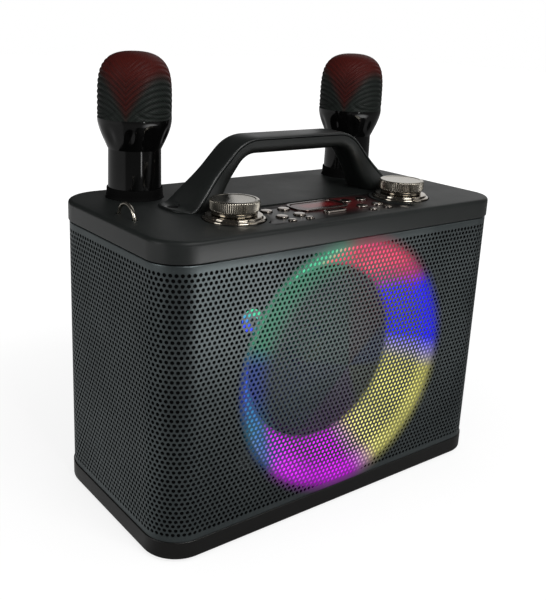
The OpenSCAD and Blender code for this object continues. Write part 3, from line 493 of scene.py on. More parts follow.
def sheet_band(first, last):
    """Closed band of punched sheet from one row of holes to another. Points sit on a lattice of
    half cells (u round, v up). A cell has eight outer points and eight on its hole."""
    row, column = np.mgrid[first:last + 1, 0:HOLES_ROUND].reshape(2, -1)
    around = np.array([[1, 0], [1, 1], [0, 1], [-1, 1], [-1, 0], [-1, -1], [0, -1], [1, -1]])
    lattice = np.stack([2 * column + row % 2, 2 * row], 1)
    step, origin = np.array([HALF_CELL, ROW_PITCH / 2]), np.array([0, FIRST_ROW_Z])
    centre = lattice * step + origin
    outer = (lattice[:, None] + around) * step + origin
    # Cells in the rear window go, and the points of those beside it snap to its edge.
    middle, half = np.array([SHEET_LENGTH / 2, WINDOW_Z]), np.array([WINDOW_HALF_W, WINDOW_HALF_H])
    inside = (abs(centre - middle) < half).all(1)
    near = (abs(centre - middle) < half + [2.2 * HALF_CELL, ROW_PITCH]).all(1) & ~inside
    reach = 1.02 * step
    off = outer - middle
    touches = near[:, None] & (abs(off) < half + reach).all(2)
    snaps = touches[..., None] & (abs(abs(off) - half) < reach)
    outer = np.where(snaps, middle + np.sign(off) * half, outer)
    turn = np.arctan2(around[:, 1], around[:, 0])
    hole = np.stack([np.cos(turn), np.sin(turn)], 1) * np.where(near, 0.0, HOLE_R)[:, None, None]
    ring = np.stack([outer, hole + centre[:, None]], 1)[~inside]
    quads = (16 * np.arange(len(ring))[:, None, None] + grid(2, 8)).reshape(-1, 4)
    flat = ring.reshape(-1, 2)
    edge = np.arange(2 * HOLES_ROUND) * HALF_CELL
    heights = []
    if first == 0:
        heights.append([BASE_TOP, FIRST_ROW_Z - ROW_PITCH / 2])
    if last == HOLE_ROWS - 1:
        top_cell = FIRST_ROW_Z + (HOLE_ROWS - 0.5) * ROW_PITCH
        heights.append([top_cell, *(SHEET_TOP - ROLLED * (1 - np.sin(np.linspace(0, np.pi / 2, 5))))])
    for rows in heights:
        quads = np.concatenate([quads, len(flat) + grid(len(rows), len(edge))])
        flat = np.concatenate([flat] + [np.column_stack([edge, edge * 0 + z]) for z in rows])
    flat = np.stack([np.mod(flat[:, 0] + 1e-7, SHEET_LENGTH) - 1e-7, flat[:, 1]], 1)
    flat, (fours, threes) = weld(flat, quads)
    return flat, fours, threes


def wrapped(name, flat, fours, threes):
    """Wraps a flat pattern round the plan at both faces of the sheet and closes every free edge."""
    place, n, _ = along_outline(np.mod(flat[:, 0], SHEET_LENGTH), SHEET_OUT)
    rise = np.clip((flat[:, 1] - SHEET_TOP + ROLLED) / ROLLED, 0, 1)
    place = place - n * (ROLLED * (1 - np.sqrt(1 - rise ** 2)))[:, None]
    front = np.concatenate([place, flat[:, 1:]], 1)
    back = np.concatenate([place - n * SHEET_T, flat[:, 1:]], 1)
    k = len(flat)
    edges = np.concatenate([np.stack([f, np.roll(f, -1, 1)], -1).reshape(-1, 2) for f in (fours, threes)])
    key = np.sort(edges, 1) @ [k, 1]
    _, index, count = np.unique(key, return_index=True, return_counts=True)
    a, b = edges[index[count == 1]].T
    walls = np.stack([b, a, a + k, b + k], 1)
    return build(name, np.concatenate([front, back]), [
        fours, threes, fours[:, ::-1] + k, threes[:, ::-1] + k, walls])


bands = [wrapped(f"punched_sheet_{i + 1}", *sheet_band(a, b)) for i, (a, b) in enumerate(
    ((0, 13), (14, 27), (28, 41), (42, HOLE_ROWS - 1)))]
print("sheet:", HOLES_ROUND * HOLE_ROWS, "cells,", [len(b.data.polygons) for b in bands], "faces")

# %% Shade behind the sheet: a dark strip put just behind the punched steel, away from the driver, so the holes show dark
SHADE_SHEET_INSET, SHADE_SHEET_T, SHADE_SHEET_CLEAR, SHADE_SHEET_REAR_GAP = 1.8, 0.3, 118.0, 72.0


def shade_sheet_strip(name, first, last, steps=120):
    """A thin upright strip along the outline from one distance to another, closed all round."""
    s = np.linspace(first, last, steps)
    rings = []
    for inset, z in ((SHADE_SHEET_INSET, COVER_BOTTOM), (SHADE_SHEET_INSET, BASE_TOP),
                     (SHADE_SHEET_INSET + SHADE_SHEET_T, BASE_TOP), (SHADE_SHEET_INSET + SHADE_SHEET_T, COVER_BOTTOM)):
        share = outline_length(inset) / outline_length()
        rings.append(np.column_stack([along_outline(s * share, inset)[0], np.full(steps, z)]))
    points = np.stack(rings, 1).reshape(-1, 3)
    return build(name, points, capped(steps, 4))


rear = outline_length() / 2
shade_sheets = [shade_sheet_strip("shade_sheet_right", SHADE_SHEET_CLEAR, rear - SHADE_SHEET_REAR_GAP),
          shade_sheet_strip("shade_sheet_left", rear + SHADE_SHEET_REAR_GAP, 2 * rear - SHADE_SHEET_CLEAR)]
print("liners:", [len(shade_sheet.data.polygons) for shade_sheet in shade_sheets], "faces")

# %% [markdown]
# The base and the cover are mouldings with softened edges. Their cross-sections are swept round
# the same plan, and then the cover loses what the mould leaves out: the panel's recess, two
# shallow dishes for the knobs, the ways for both wells and the loop's two holes.

# %% Base and cover
FOOT_PLACES = [(x * (BODY_W / 2 - FRONT_R), y * (BODY_D / 2 - FRONT_R)) for x in (-1, 1) for y in (-1, 1)]
base_profile = soft_path([(6, 2, 0), (0, 2, 1.6), (0, BASE_TOP, 0.7), (4, BASE_TOP, 0.4), (4, 5, 0)], 6)
base = build("base_moulding", *stacked(body_plan, base_profile))
FOOT_HOLE_R = 9.3
carve(base, *(drill(FOOT_HOLE_R, 0, 3, at) for at in FOOT_PLACES))

PANEL_Y, PANEL_D, PANEL_HALF_W = -44.5, 51.0, 66.0
KNOB_X, KNOB_Y, DISH_R, PANEL_ARC_R = 79.5, -42.0, 22.3, 24.5
MIC_X, MIC_Y, WELL_R = 105.0, 49.0, 21.1
LOOP_X, LOOP_Y, LOOP_R, WIRE_R = -141.0, -6.0, 11.3, 1.2
RECESS_Z, DISH_Z, RUN_GAP = 219.0, 221.0, 0.35
CUT_LOW, CUT_HIGH = 200.0, 230.0


def panel_plan(inset, steps=28):
    """The panel's plan: a rectangle whose ends are cut back by circles round the knobs. Moving it
    inwards by an inset shortens the rectangle and widens the circles by the same amount."""
    x, y, r = PANEL_HALF_W - inset, PANEL_D / 2 - inset, PANEL_ARC_R + inset
    beta = np.arccos((KNOB_X - x) / r)
    a = np.pi + np.linspace(beta, -beta, steps)
    bay = np.stack([KNOB_X + r * np.cos(a), KNOB_Y + r * np.sin(a)], 1)
    right = np.concatenate([[[x, PANEL_Y - y]], bay, [[x, PANEL_Y + y]]])
    return np.concatenate([right, right[::-1] * [-1, 1]])


cover_profile = soft_path([(4, 216.9, 0), (4, COVER_BOTTOM - 3, 0.2), (1.9, COVER_BOTTOM - 3, 0.2),
                           (1.9, COVER_BOTTOM, 0), (0, COVER_BOTTOM, 0.8), (0, BODY_H, 3.2),
                           (8, BODY_H, 0)], 8)
cover = build("cover_moulding", *stacked(body_plan, cover_profile))
cuts = [build("cut", *stacked(panel_plan, [(0, RECESS_Z), (0, CUT_HIGH)]))]
for side in (-1, 1):
    cuts += [drill(WELL_R + RUN_GAP, CUT_LOW, CUT_HIGH, (side * MIC_X, MIC_Y), 96),
             drill(DISH_R, DISH_Z, CUT_HIGH, (side * KNOB_X, KNOB_Y), 96),
             drill(WIRE_R + 0.7, CUT_LOW, CUT_HIGH, (LOOP_X, LOOP_Y + side * LOOP_R), 24)]
carve(cover, *cuts)
print("cover:", len(cover.data.polygons), "faces, base:", len(base.data.polygons))

# %% [markdown]
# The handle is two shells with a dark groove between them. Each is lofted along its own line from
# the left foot over the grip to the right foot. A station carries a crowned cross-section, wide
# at the feet and narrower at the grip, which is how such a moulding is drawn before it is cut.

# %% The handle
HANDLE_HALF_L, GRIP_TOP_Z, LEAN = 107.5, 270.6, 10.0
GRIP_HALF_W, FOOT_HALF_W, TIP_L = 13.0, 19.0, 12.0


def straight(a, b, steps):
    """Points between two ends, without the ends."""
    t = np.linspace(0, 1, steps + 2)[1:-1, None]
    return (1 - t) * np.array(a, float) + t * np.array(b, float)


def both_ways(half):
    """The mirrored half and the half as one line from left to right."""
    return np.concatenate([half[:0:-1] * [-1, 1], half])


def grip_line(top, shoulder_x, heel, cut, steps, rest):
    """A mirrored line along the grip and down the legs, whose halves end in the given rest."""
    a = rounded_corner([0, top], [shoulder_x, top], heel, cut, 13)
    return both_ways(np.concatenate([
        [[0, top]], straight([0, top], a[0], 5), a, straight(a[-1], rest[0], steps), rest]))


def foot_line(top, shoulder_x, heel, cut_a, cut_b, steps=10):
    """A grip line that turns at each heel and runs flat out to the foot's tip."""
    bend = rounded_corner([shoulder_x, top], heel, [HANDLE_HALF_L, heel[1]], cut_b, 13)
    start = heel[0] + cut_b
    tip = start + (HANDLE_HALF_L - start) * np.sin(np.linspace(0, np.pi / 2, steps + 1)[1:])
    rest = np.concatenate([bend, np.column_stack([tip, np.full(steps, heel[1])])])
    return grip_line(top, shoulder_x, heel, cut_a, 8, rest)


def half_width(x):
    """The grip's half width, easing out to the foot's, and closing round at the tip."""
    t = np.clip((abs(x) - HANDLE_HALF_L + 38) / 26, 0, 1)
    in_tip = np.clip((abs(x) - HANDLE_HALF_L + TIP_L) / TIP_L, 0, 1)
    ease = t * t * (3 - 2 * t)
    return GRIP_HALF_W + (FOOT_HALF_W - GRIP_HALF_W) * ease - TIP_L * (1 - np.sqrt(1 - in_tip ** 2))


def crowned(power, steps=28):
    """Half-section of width 1 and height 1: (sign(c) |c|^power, s^0.75) round half a circle."""
    a = np.linspace(0, np.pi, steps + 1)
    c = np.cos(a)
    return np.stack([np.sign(c) * abs(c) ** power, np.clip(np.sin(a), 0, 1) ** 0.75], 1)


def lofted(low, high, sections):
    """Sections between two lines: (across, q) lies at low + (high - low) * q, across the width."""
    q = low[:, None] + (high - low)[:, None] * sections[..., 1:]
    points = np.stack([q[..., 0], sections[..., 0], q[..., 1]], -1)
    return points.reshape(-1, 3), capped(*points.shape[:2])


FOOT_T, SPLIT_DROP, SPLIT_SHOULDER = 1.8, 2.0, HANDLE_HALF_L - 57
HEEL, SPLIT_HEEL = [HANDLE_HALF_L - LEAN, BODY_H + FOOT_T], [HANDLE_HALF_L - LEAN - 3, BODY_H]
upper = foot_line(GRIP_TOP_Z, HANDLE_HALF_L - 56, HEEL, 14, 5)
split = foot_line(GRIP_TOP_Z - SPLIT_DROP, SPLIT_SHOULDER, SPLIT_HEEL, 13, 3)
dome = crowned(0.45)
sections = np.stack([half_width(split[:, 0])[:, None] * dome[None, :, 0],
                     np.broadcast_to(dome[:, 1], (len(split), len(dome)))], -1)
handle_top = build("handle_upper_shell", *lofted(split, upper, sections))

inner_heel = [HANDLE_HALF_L - 35, BODY_H]
under = grip_line(GRIP_TOP_Z - 12.8, HANDLE_HALF_L - 59.5, inner_heel, 10, 14, [inner_heel])
over = grip_line(GRIP_TOP_Z - SPLIT_DROP, SPLIT_SHOULDER, SPLIT_HEEL, 13, 14, [SPLIT_HEEL])
GROOVE, GROOVE_DEPTH = 0.8, 2.4
width = half_width(over[:, 0])[:, None]
shelf = 1 - GROOVE / np.linalg.norm(over - under, axis=1)[:, None]
belly = crowned(0.5)
one = np.ones_like(width)
across = np.hstack([-width * belly[:, 0], width - GROOVE_DEPTH, width - GROOVE_DEPTH,
                    GROOVE_DEPTH - width, GROOVE_DEPTH - width])
rise = np.hstack([shelf * (1 - belly[:, 1]), shelf + 0.02, one, one, shelf + 0.02])
handle_low = build("handle_lower_shell", *lofted(under, over, np.stack([across, rise], -1)))
SCREW_X = HANDLE_HALF_L - 5.6
recess = np.array([[0, 0.75], [3.9, 0.75], [3.9, 1.2], [4.3, 1.5], [4.9, 1.9], [4.9, 8], [0, 8]])
carve(handle_top, *(build("cut", *turned(recess + [0, BODY_H], 48, (side * SCREW_X, 0))) for side in (-1, 1)))
print("handle:", len(upper), "stations on the upper line,", len(under), "on the lower")

# %% [markdown]
# The control panel is a glossy plate let into the cover. Its edge has a small bevel, which is what
# catches the light as a thin line. Knobs, flanges, keys and the display's rim are all turned or
# swept shapes, and chrome only looks like chrome when every edge is a little round.

# %% Control panel
COLUMN_X = (-45.5, -30.0, 30.0, 45.5)
ROW_Y = (PANEL_Y + 11.5, PANEL_Y - 6.5, PANEL_Y - 18)
ROW_R = (4.4, 4.4, 3.0)
DISPLAY_Y, DISPLAY_W, DISPLAY_D = PANEL_Y + 9.5, 42.0, 18.0
BAR_Y, BAR_HALF_W, BAR_R = PANEL_Y - 10, 10.0, 3.0


def round_plan(centre, half_x, half_y, radius, steps=10):
    """Rounded rectangle as a function of an inset: four quarter circles about fixed centres."""
    a = (np.arange(4)[:, None] * 90 + np.linspace(0, 90, steps + 1)[None]).ravel() * np.pi / 180
    corner = np.repeat(np.array([[1, 1], [-1, 1], [-1, -1], [1, -1]]), steps + 1, 0)
    middle = np.array(centre) + corner * [half_x - radius, half_y - radius]
    return lambda inset: middle + (radius - inset) * np.stack([np.cos(a), np.sin(a)], 1)


panel = build("panel_plate", *stacked(panel_plan, [
    (0.2, RECESS_Z), (0.2, DISH_Z - 0.45), (0.35, DISH_Z - 0.15), (0.65, DISH_Z)]))
cuts = [drill(r + RUN_GAP, CUT_LOW, CUT_HIGH, (x, y), 32) for y, r in zip(ROW_Y, ROW_R) for x in COLUMN_X]
bar_hole = round_plan((0, BAR_Y), BAR_HALF_W + RUN_GAP, BAR_R + RUN_GAP, BAR_R + RUN_GAP - 0.01)
carve(panel, *cuts, build("cut", *stacked(bar_hole, [(0, CUT_LOW), (0, CUT_HIGH)])))

rim_plan = round_plan((0, DISPLAY_Y), DISPLAY_W / 2 + 3, DISPLAY_D / 2 + 3, 8)
rim_points, (rim_quads, *_) = stacked(rim_plan, [0, DISH_Z] + soft_path(
    [(2.9, 0, 0), (0, 0, 0.2), (0, 1.2, 0.7), (2.9, 1.2, 0.9), (2.9, 0, 0)], 5))
display_rim = build("display_rim", *weld(rim_points, rim_quads))
window_plan = round_plan((0, DISPLAY_Y), DISPLAY_W / 2 - 0.2, DISPLAY_D / 2 - 0.2, 4.8)
display = build("display_glass", *stacked(window_plan, [
    (0, DISH_Z), (0, DISH_Z + 0.55), (0.25, DISH_Z + 0.8), (4, DISH_Z + 0.82)]))
print("panel:", len(panel.data.polygons), "faces")


# %% Knobs and their flanges
KNOB_R, KNOB_Z, KNOB_H, RIBS, RIB_DEPTH = 16.8, 225.5, 10.3, 72, 0.3


def coin_edge(r, h, a):
    """Fine ribs round the upper part of the rim: a cosine of the angle, faded at both ends."""
    s = (h - KNOB_Z) / KNOB_H
    band = np.clip((s - 0.30) / 0.04, 0, 1) * np.clip((0.94 - s) / 0.04, 0, 1) * (r > KNOB_R - 1.2)
    return r + band * RIB_DEPTH * np.cos(RIBS * a)


def knob_profile():
    """A narrower foot, a ribbed rim and a top with a soft edge round a slightly sunk face."""
    z = KNOB_Z
    return soft_path([(0, z, 0), (15.7, z, 0.5), (15.9, z + 2.5, 0.5), (KNOB_R, z + 3.0, 0.3),
                      (KNOB_R + 0.1, z + 9.3, 0), (KNOB_R - 0.1, z + KNOB_H - 0.1, 0.9),
                      (14.4, z + KNOB_H, 0.4), (13.9, z + KNOB_H - 0.35, 0.3), (0, z + KNOB_H - 0.35, 0)], 5)


def rib_ready(profile, step=0.35):
    """The profile with extra points up its long outside stretches, for the ribs to bend."""
    outside = (profile[:-1, 0] > KNOB_R - 0.5) & (profile[1:, 1] - profile[:-1, 1] > step)
    pieces = [profile[:1]]
    for a, b, long in zip(profile[:-1], profile[1:], outside):
        if long:
            t = np.linspace(0, 1, int((b[1] - a[1]) / step) + 2)[1:-1, None]
            pieces.append((1 - t) * a + t * b)
        pieces.append(b[None])
    return np.concatenate(pieces)


flange_profile = [0, DISH_Z] + soft_path([(8, 0, 0), (21.5, 0, 0.2), (21.5, 2.3, 1.1), (19.7, 2.5, 0.5),
                                          (19.5, 4.2, 0.9), (8, 4.2, 0.2), (8, 0, 0)], 6)
SIDES = {"left": -1, "right": 1}
knobs, flanges = {}, {}
for name, side in SIDES.items():
    centre = (side * KNOB_X, KNOB_Y)
    knobs[name] = build(f"knob_cap_{name}", *turned(rib_ready(knob_profile()), RIBS * 6, centre, coin_edge))
    flanges[name] = build(f"knob_flange_{name}", *turned(flange_profile, 128, centre))
print("knob:", len(knobs["left"].data.polygons), "faces")


# %% Keys
KEY_LOW, KEY_TOP = 218.0, 222.4


def key_profile(r):
    """A turned key: a straight side and a low crown with a soft edge."""
    return soft_path([(0, KEY_LOW, 0), (r, KEY_LOW, 0.2), (r, KEY_TOP - 0.25, 0.75), (0, KEY_TOP, 0)], 6)


keys = {}
for letter, y, r in zip("abc", ROW_Y, ROW_R):
    for number, x in enumerate(COLUMN_X, 1):
        keys[f"{letter}{number}"] = build(f"key_{letter}{number}", *turned(key_profile(r), 40, (x, y)))
bar = build("key_bar", *stacked(round_plan((0, BAR_Y), BAR_HALF_W, BAR_R, BAR_R - 0.01), [(0, KEY_LOW)] + [
    (inset, KEY_TOP - drop) for inset, drop in ((0, 0.7), (0.12, 0.35), (0.4, 0.1), (0.9, 0), (2.4, 0))]))
print("keys:", len(keys) + 1)

# %% [markdown]
# A microphone is a turned body with a flared collar and a wire basket. The basket's ridges rise and
# fall in waves round it, so they meet in a V towards the front. The wave moves each ridge up by
# the size of a sine, and the ridges fade out over the dome. Shallow scoops dent the collar.

# %% Microphones
MIC_LOW_Z, MIC_NECK_Z, COLLAR_H, BASKET_H = 182.0, 257.6, 21.9, 46.5
HEAD_R, FLARE_R, NECK_R, STEM_R = 26.6, 19.2, 19.1, 19.6
RIDGE_PITCH, RIDGE_DEPTH, WAVE_H, SCOOP_DEPTH = 3.9, 0.55, 15.0, 1.1


def basket_radius(z):
    """Domed basket: r = R (1 - (z/H)^5)^0.4."""
    return HEAD_R * np.clip(1 - (z / BASKET_H) ** 5, 0, 1) ** 0.4


def wave_height(a, facing):
    """How far a ridge has climbed at angle a: |sin 1.5 (a - facing)|^0.75 of the wave's height."""
    return WAVE_H * abs(np.sin(1.5 * (a - facing))) ** 0.75


def basket_shell(centre, facing):
    """The basket's grid: even steps along the profile, and ridges cut in along the waves."""
    z = BASKET_H * np.sin(np.linspace(0, np.pi / 2, 400))
    line = even(np.column_stack([basket_radius(z), z]), 0.5)
    s = run(line)
    slope = np.gradient(line, axis=0)
    slope /= np.linalg.norm(slope, axis=1)[:, None]
    steps = 192
    a = np.arange(steps) * 2 * np.pi / steps
    phase = (s[:, None] - wave_height(a, facing)[None] * np.clip(line[:, 1:] / 6, 0, 1)) / RIDGE_PITCH
    fade = np.clip((s[-1] - 17 - s) / 10, 0, 1)[:, None] * np.clip(s / 1.5, 0, 1)[:, None]
    dent = -RIDGE_DEPTH * fade * (0.5 - 0.5 * np.cos(2 * np.pi * phase)) ** 1.5
    r = np.clip(line[:, :1] + dent * slope[:, 1:], 0, None)
    h = line[:, 1:] - dent * slope[:, :1]
    r[-1], h[-1] = 0, line[-1, 1]
    base = MIC_NECK_Z + COLLAR_H
    points = np.concatenate([about(centre, 0, a, base), about(centre, r, a, base + h)])
    return weld(points, grid(len(line) + 1, steps))


def scooped(r, h, a):
    """Ten shallow upright scoops round the collar's waist."""
    s = np.clip(1.15 * (h - MIC_NECK_Z) / COLLAR_H - 0.05, 0, 1)
    return r - SCOOP_DEPTH * np.sin(np.pi * s) ** 2 * (0.5 - 0.5 * np.cos(10 * a)) ** 2


s = np.linspace(0, 1, 30)
flare = FLARE_R + (HEAD_R - FLARE_R) * np.cos(np.pi / 2 * (1 - s) ** 0.92)
collar_profile = np.concatenate([[[0, MIC_NECK_Z]], np.column_stack([flare, MIC_NECK_Z + COLLAR_H * s]),
                                 [[0, MIC_NECK_Z + COLLAR_H]]])
stem_profile = soft_path([(0, MIC_LOW_Z, 0), (STEM_R, MIC_LOW_Z, 1.5), (STEM_R, MIC_LOW_Z + 10, 0),
                          (STEM_R, MIC_LOW_Z + 32, 0), (NECK_R, MIC_NECK_Z, 0), (0, MIC_NECK_Z, 0)], 5)
well_profile = soft_path([(0, MIC_LOW_Z - 2, 0), (WELL_R, MIC_LOW_Z - 2, 0.6), (WELL_R, BODY_H, 0.4),
                          (20.6, BODY_H + 2, 0.8), (20.4, BODY_H + 7.5, 0.3),
                          (STEM_R + RUN_GAP, BODY_H + 7.5, 0.2), (STEM_R + RUN_GAP, MIC_LOW_Z, 0),
                          (0, MIC_LOW_Z, 0)], 5)
mics = {}
for name, v_angle in (("left", -132), ("right", -144)):
    at, facing = (SIDES[name] * MIC_X, MIC_Y), math.radians(v_angle)
    mics[name] = {
        "at": at, "facing": facing,
        "stem": build(f"mic_{name}_stem", *turned(stem_profile, 96, at)),
        "basket": build(f"mic_{name}_wire_basket", *basket_shell(at, facing)),
        "collar": build(f"mic_{name}_flare", *turned(collar_profile, 240, at, scooped)),
        "well": build(f"mic_{name}_cup", *turned(well_profile, 96, at))}
print("basket:", len(mics["left"]["basket"].data.polygons), "faces")

# %% Strap loop
LOOP_Z, LOOP_LEGS = 219.5, 7.0


def wire_arch(steps=48, around=20):
    """A wire bent to half a circle with straight legs: circles carried square to that line."""
    t = np.linspace(0, np.pi, steps)
    y = np.concatenate([[LOOP_R], LOOP_R * np.cos(t), [-LOOP_R]])
    z = np.concatenate([[-LOOP_LEGS], LOOP_R * np.sin(t), [-LOOP_LEGS]])
    out = np.stack([np.concatenate([[1], np.cos(t), [-1]]), np.concatenate([[0], np.sin(t), [0]])], 1)
    a = np.arange(around) * 2 * np.pi / around
    px = WIRE_R * np.cos(a)[None] + 0 * y[:, None]
    py = y[:, None] + WIRE_R * np.sin(a)[None] * out[:, :1]
    pz = z[:, None] + WIRE_R * np.sin(a)[None] * out[:, 1:]
    points = np.stack([LOOP_X + px, LOOP_Y + py, LOOP_Z + pz], -1).reshape(-1, 3)
    return points, capped(len(y), around)


loop = build("strap_wire", *wire_arch())
print("strap wire:", len(loop.data.polygons), "faces")

# %% [markdown]
# The solids that already have the right shape stay as they are made: their triangles are welded in
# a copy, flat ones are joined again, and a narrow bevel eases every sharp edge, because a real
# moulded or pressed edge always shows a thin line of light.

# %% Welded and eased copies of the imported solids
def eased(node, ease=0.25, segments=2, seen_angle=30):
    """A welded copy of a solid, with a bevel of a given width in millimetres on its sharp edges."""
    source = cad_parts[node]
    shape = bmesh.new()
    shape.from_mesh(source.data)
    bmesh.ops.remove_doubles(shape, verts=shape.verts, dist=0.01 * MM)
    bmesh.ops.dissolve_limit(shape, angle_limit=math.radians(0.6), verts=shape.verts, edges=shape.edges)
    mesh = bpy.data.meshes.new(f"{node}_eased")
    shape.to_mesh(mesh)
    shape.free()
    piece = added(f"{node}_eased", mesh)
    if ease:
        bevel = piece.modifiers.new("ease", "BEVEL")
        bevel.width, bevel.segments = ease * MM, segments
        bevel.limit_method, bevel.angle_limit = "ANGLE", math.radians(seen_angle)
    return piece


cabinet = eased("cabinet", 0.4)
print("cabinet:", len(cabinet.data.polygons), "faces before its bevel")

# %% [markdown]
# Finishes. Dark mouldings are never one colour: a fine grain breaks up the shine, handling leaves
# slow changes of gloss, and dust and a little scatter lighten them here and there.

# %% Moulded plastics
def moulded(name, colour, rough, level, grain=0.32, depth=0.035, polish=None):
    """Satin moulding: colour drifts by a few percent over clouds, and a fine grain lifts the surface.
    Polish (height, roughness) gives the upright sides below a height a thin glossier skin."""
    p = Paint(name)
    drift = p.noise(34, 4, 0.6)
    fleck = p.noise(0.7, 2, 0.6)
    shade = p.mix(drift.smooth(0.3, 0.7), times(colour, 0.9), times(colour, 1.1))
    shade = p.mix(fleck.smooth(0.62, 0.8) * 0.35, shade, times(colour, 1.9))
    gloss = rough + (drift - 0.5) * 0.16 + (fleck - 0.5) * 0.08
    values = {"Normal": p.bump(p.noise(grain, 2, 0.55), depth, 0.6)}
    if polish:
        values["Coat_Weight"] = (1 - p.axis(2).smooth(polish[0] - 1.5, polish[0])) * 0.62
        values["Coat_Roughness"] = polish[1]
    return p.finish(Base_Color=shade, Roughness=gloss, Specular_IOR_Level=level, **values)


cover_paint = moulded("cover_satin_plastic", tone(23, 26, 25), 0.5, 0.26, polish=(BODY_H - 1.5, 0.26))
handle_paint = moulded("handle_satin_plastic", tone(19, 22, 21), 0.42, 0.5)
base_paint = moulded("base_satin_plastic", tone(10, 9, 8), 0.36, 0.5)
inner_paint = moulded("cabinet_matt_plastic", tone(9, 9, 10), 0.75, 0.1)
well_paint = moulded("well_matt_plastic", tone(8, 8, 8), 0.7, 0.05)
rubber_paint = moulded("foot_rubber", tone(28, 28, 28), 0.85, 0.2, grain=0.8, depth=0.08)
print("plastics:", cover_paint.name, handle_paint.name, base_paint.name)

# %% [markdown]
# The lamps behind the funnel run through a rainbow, one colour to each part of the ring. The colour
# is a ramp over the clock angle about the driver's axis, so it stays on the funnel from every side.
# The sheet in front picks up a little of it where the funnel shines through.

# %% Ring of light
DRIVER_Z = (BASE_TOP + COVER_BOTTOM) / 2
RING = [(0.0, tone(190, 95, 95)), (0.02, tone(205, 60, 90)), (0.10, tone(215, 66, 98)),
        (0.13, tone(180, 50, 120)), (0.155, tone(30, 16, 240)), (0.245, tone(18, 12, 252)),
        (0.268, tone(150, 140, 200)), (0.29, tone(205, 200, 105)), (0.43, tone(208, 203, 110)),
        (0.452, tone(200, 150, 185)), (0.475, tone(205, 12, 228)), (0.615, tone(196, 12, 226)),
        (0.64, tone(60, 90, 165)), (0.70, tone(30, 112, 145)), (0.745, tone(40, 65, 185)),
        (0.785, tone(35, 75, 178)), (0.81, tone(60, 170, 125)), (0.975, tone(75, 180, 135)),
        (1.0, tone(190, 95, 95))]


def clock(p):
    """Clock position about the driver's axis, 0 to 1, seen from the front: atan2(x, z) over a turn."""
    return (p.axis(0).math("ARCTAN2", p.axis(2) - DRIVER_Z) / (2 * math.pi)).math("FRACT")


def from_axis(p):
    """Distance from the driver's axis in millimetres."""
    return length(p.axis(0), p.axis(2) - DRIVER_Z)


def ring_colour(p):
    return p.node("ValToRGB", {"stops": RING}, {0: clock(p)})


def funnel_finish():
    """Milky plastic lit from behind: strongest at mid-slope, with a soft swell at each lamp. Of
    the four ears only the one at ten o'clock catches the light."""
    p = Paint("lit_funnel_plastic")
    hour = clock(p)
    swell = (hour * (12 * 2 * math.pi)).math("COSINE") * 0.1 + 0.9
    r = from_axis(p)
    slope = r.smooth(66, 73) * 0.93 + 0.07
    fade = 1 - r.smooth(88, 96) * 0.82
    out = r.smooth(96, 98)
    ear = hour.smooth(0.74, 0.77) * (1 - hour.smooth(0.90, 0.93)) * 0.9
    lit_ear = p.mix(hour.smooth(0.826, 0.842), tone(55, 70, 215), tone(70, 190, 140))
    colour = p.mix(out, ring_colour(p), lit_ear)
    glow = p.mix(swell * slope * fade * (1 - out) + ear * out, BLACK, colour)
    cloudy = p.mix(p.noise(6).smooth(0.3, 0.7) * 0.3, tone(66, 66, 70), tone(54, 55, 60))
    return p.finish(Base_Color=cloudy, Roughness=0.35 + p.noise(3) * 0.1, Emission_Color=glow,
                    Emission_Strength=1.7)


funnel_paint = funnel_finish()
print("ring colours:", len(RING), "stops")


# %% Painted sheet steel
def sheet_finish():
    """Powder coat on punched steel: orange-peel bumps, slow drift, a painted glow of light spilt from the
    ring and painted shade on the sheet in front of it.
    """
    p = Paint("powder_coated_sheet")
    peel = p.noise(0.55, 2, 0.5)
    drift = p.noise(60, 3, 0.5)
    shade = p.mix(drift.smooth(0.3, 0.7), tone(86, 93, 94), tone(100, 107, 108))
    shade = p.mix(peel.smooth(0.6, 0.8) * 0.3, shade, tone(150, 154, 158))
    r = from_axis(p)
    front = 1 - p.axis(1).smooth(-78, -70)
    band = r.smooth(68, 88) * (1 - r.smooth(88, 102)) * front
    dim = (1 - r.smooth(50, 75)) * front * 0.06
    # Painted shade: the sheet is darkened over the band in front of the lit ring.
    shade = p.mix(band * 0.5, shade, tone(50, 52, 54))
    spill = p.mix(band + dim, BLACK, ring_colour(p))
    return p.finish(Base_Color=shade, Roughness=0.38 + (peel - 0.5) * 0.2, Metallic=0.9,
                    Normal=p.bump(peel, 0.03, 0.5), Specular_IOR_Level=0.5,
                    Emission_Color=spill, Emission_Strength=0.34)


sheet_paint = sheet_finish()


# %% Metals and gloss
def metal(name, colour, rough, turned_about=None):
    """Bright metal with hazy patches; turned faces get fine rings about their own centre."""
    p = Paint(name)
    haze = p.noise(9, 3, 0.6)
    fine_noise = p.noise(0.9, 3, 0.6)
    shade = p.mix(haze.smooth(0.35, 0.75), times(colour, 0.88), colour)
    gloss = rough + (haze - 0.5) * 0.08 + (fine_noise - 0.5) * 0.05
    relief = p.bump(fine_noise, 0.008, 0.3)
    if turned_about:
        r = length(p.axis(0) - turned_about[0], p.axis(1) - turned_about[1])
        relief = p.bump((r * 9 + fine_noise * 2).math("SINE"), 0.012, 0.35)
    return p.finish(Base_Color=shade, Metallic=1.0, Roughness=gloss, Normal=relief)


chrome = metal("chrome_trim", tone(178, 170, 158), 0.12)
dark_chrome = metal("dark_chrome", tone(92, 80, 76), 0.26)
key_chrome = metal("key_chrome", tone(165, 156, 148), 0.18)
knob_chrome = {name: metal(f"knob_chrome_{name}", tone(176, 170, 158), 0.18, (side * KNOB_X, KNOB_Y))
               for name, side in SIDES.items()}
screw_steel = metal("screw_steel", tone(120, 118, 114), 0.3)
black_screw = metal("blackened_screw", tone(10, 10, 10), 0.6)
wire_steel = metal("loop_wire", tone(190, 184, 172), 0.2)
port_steel = metal("port_steel", tone(165, 165, 165), 0.28)


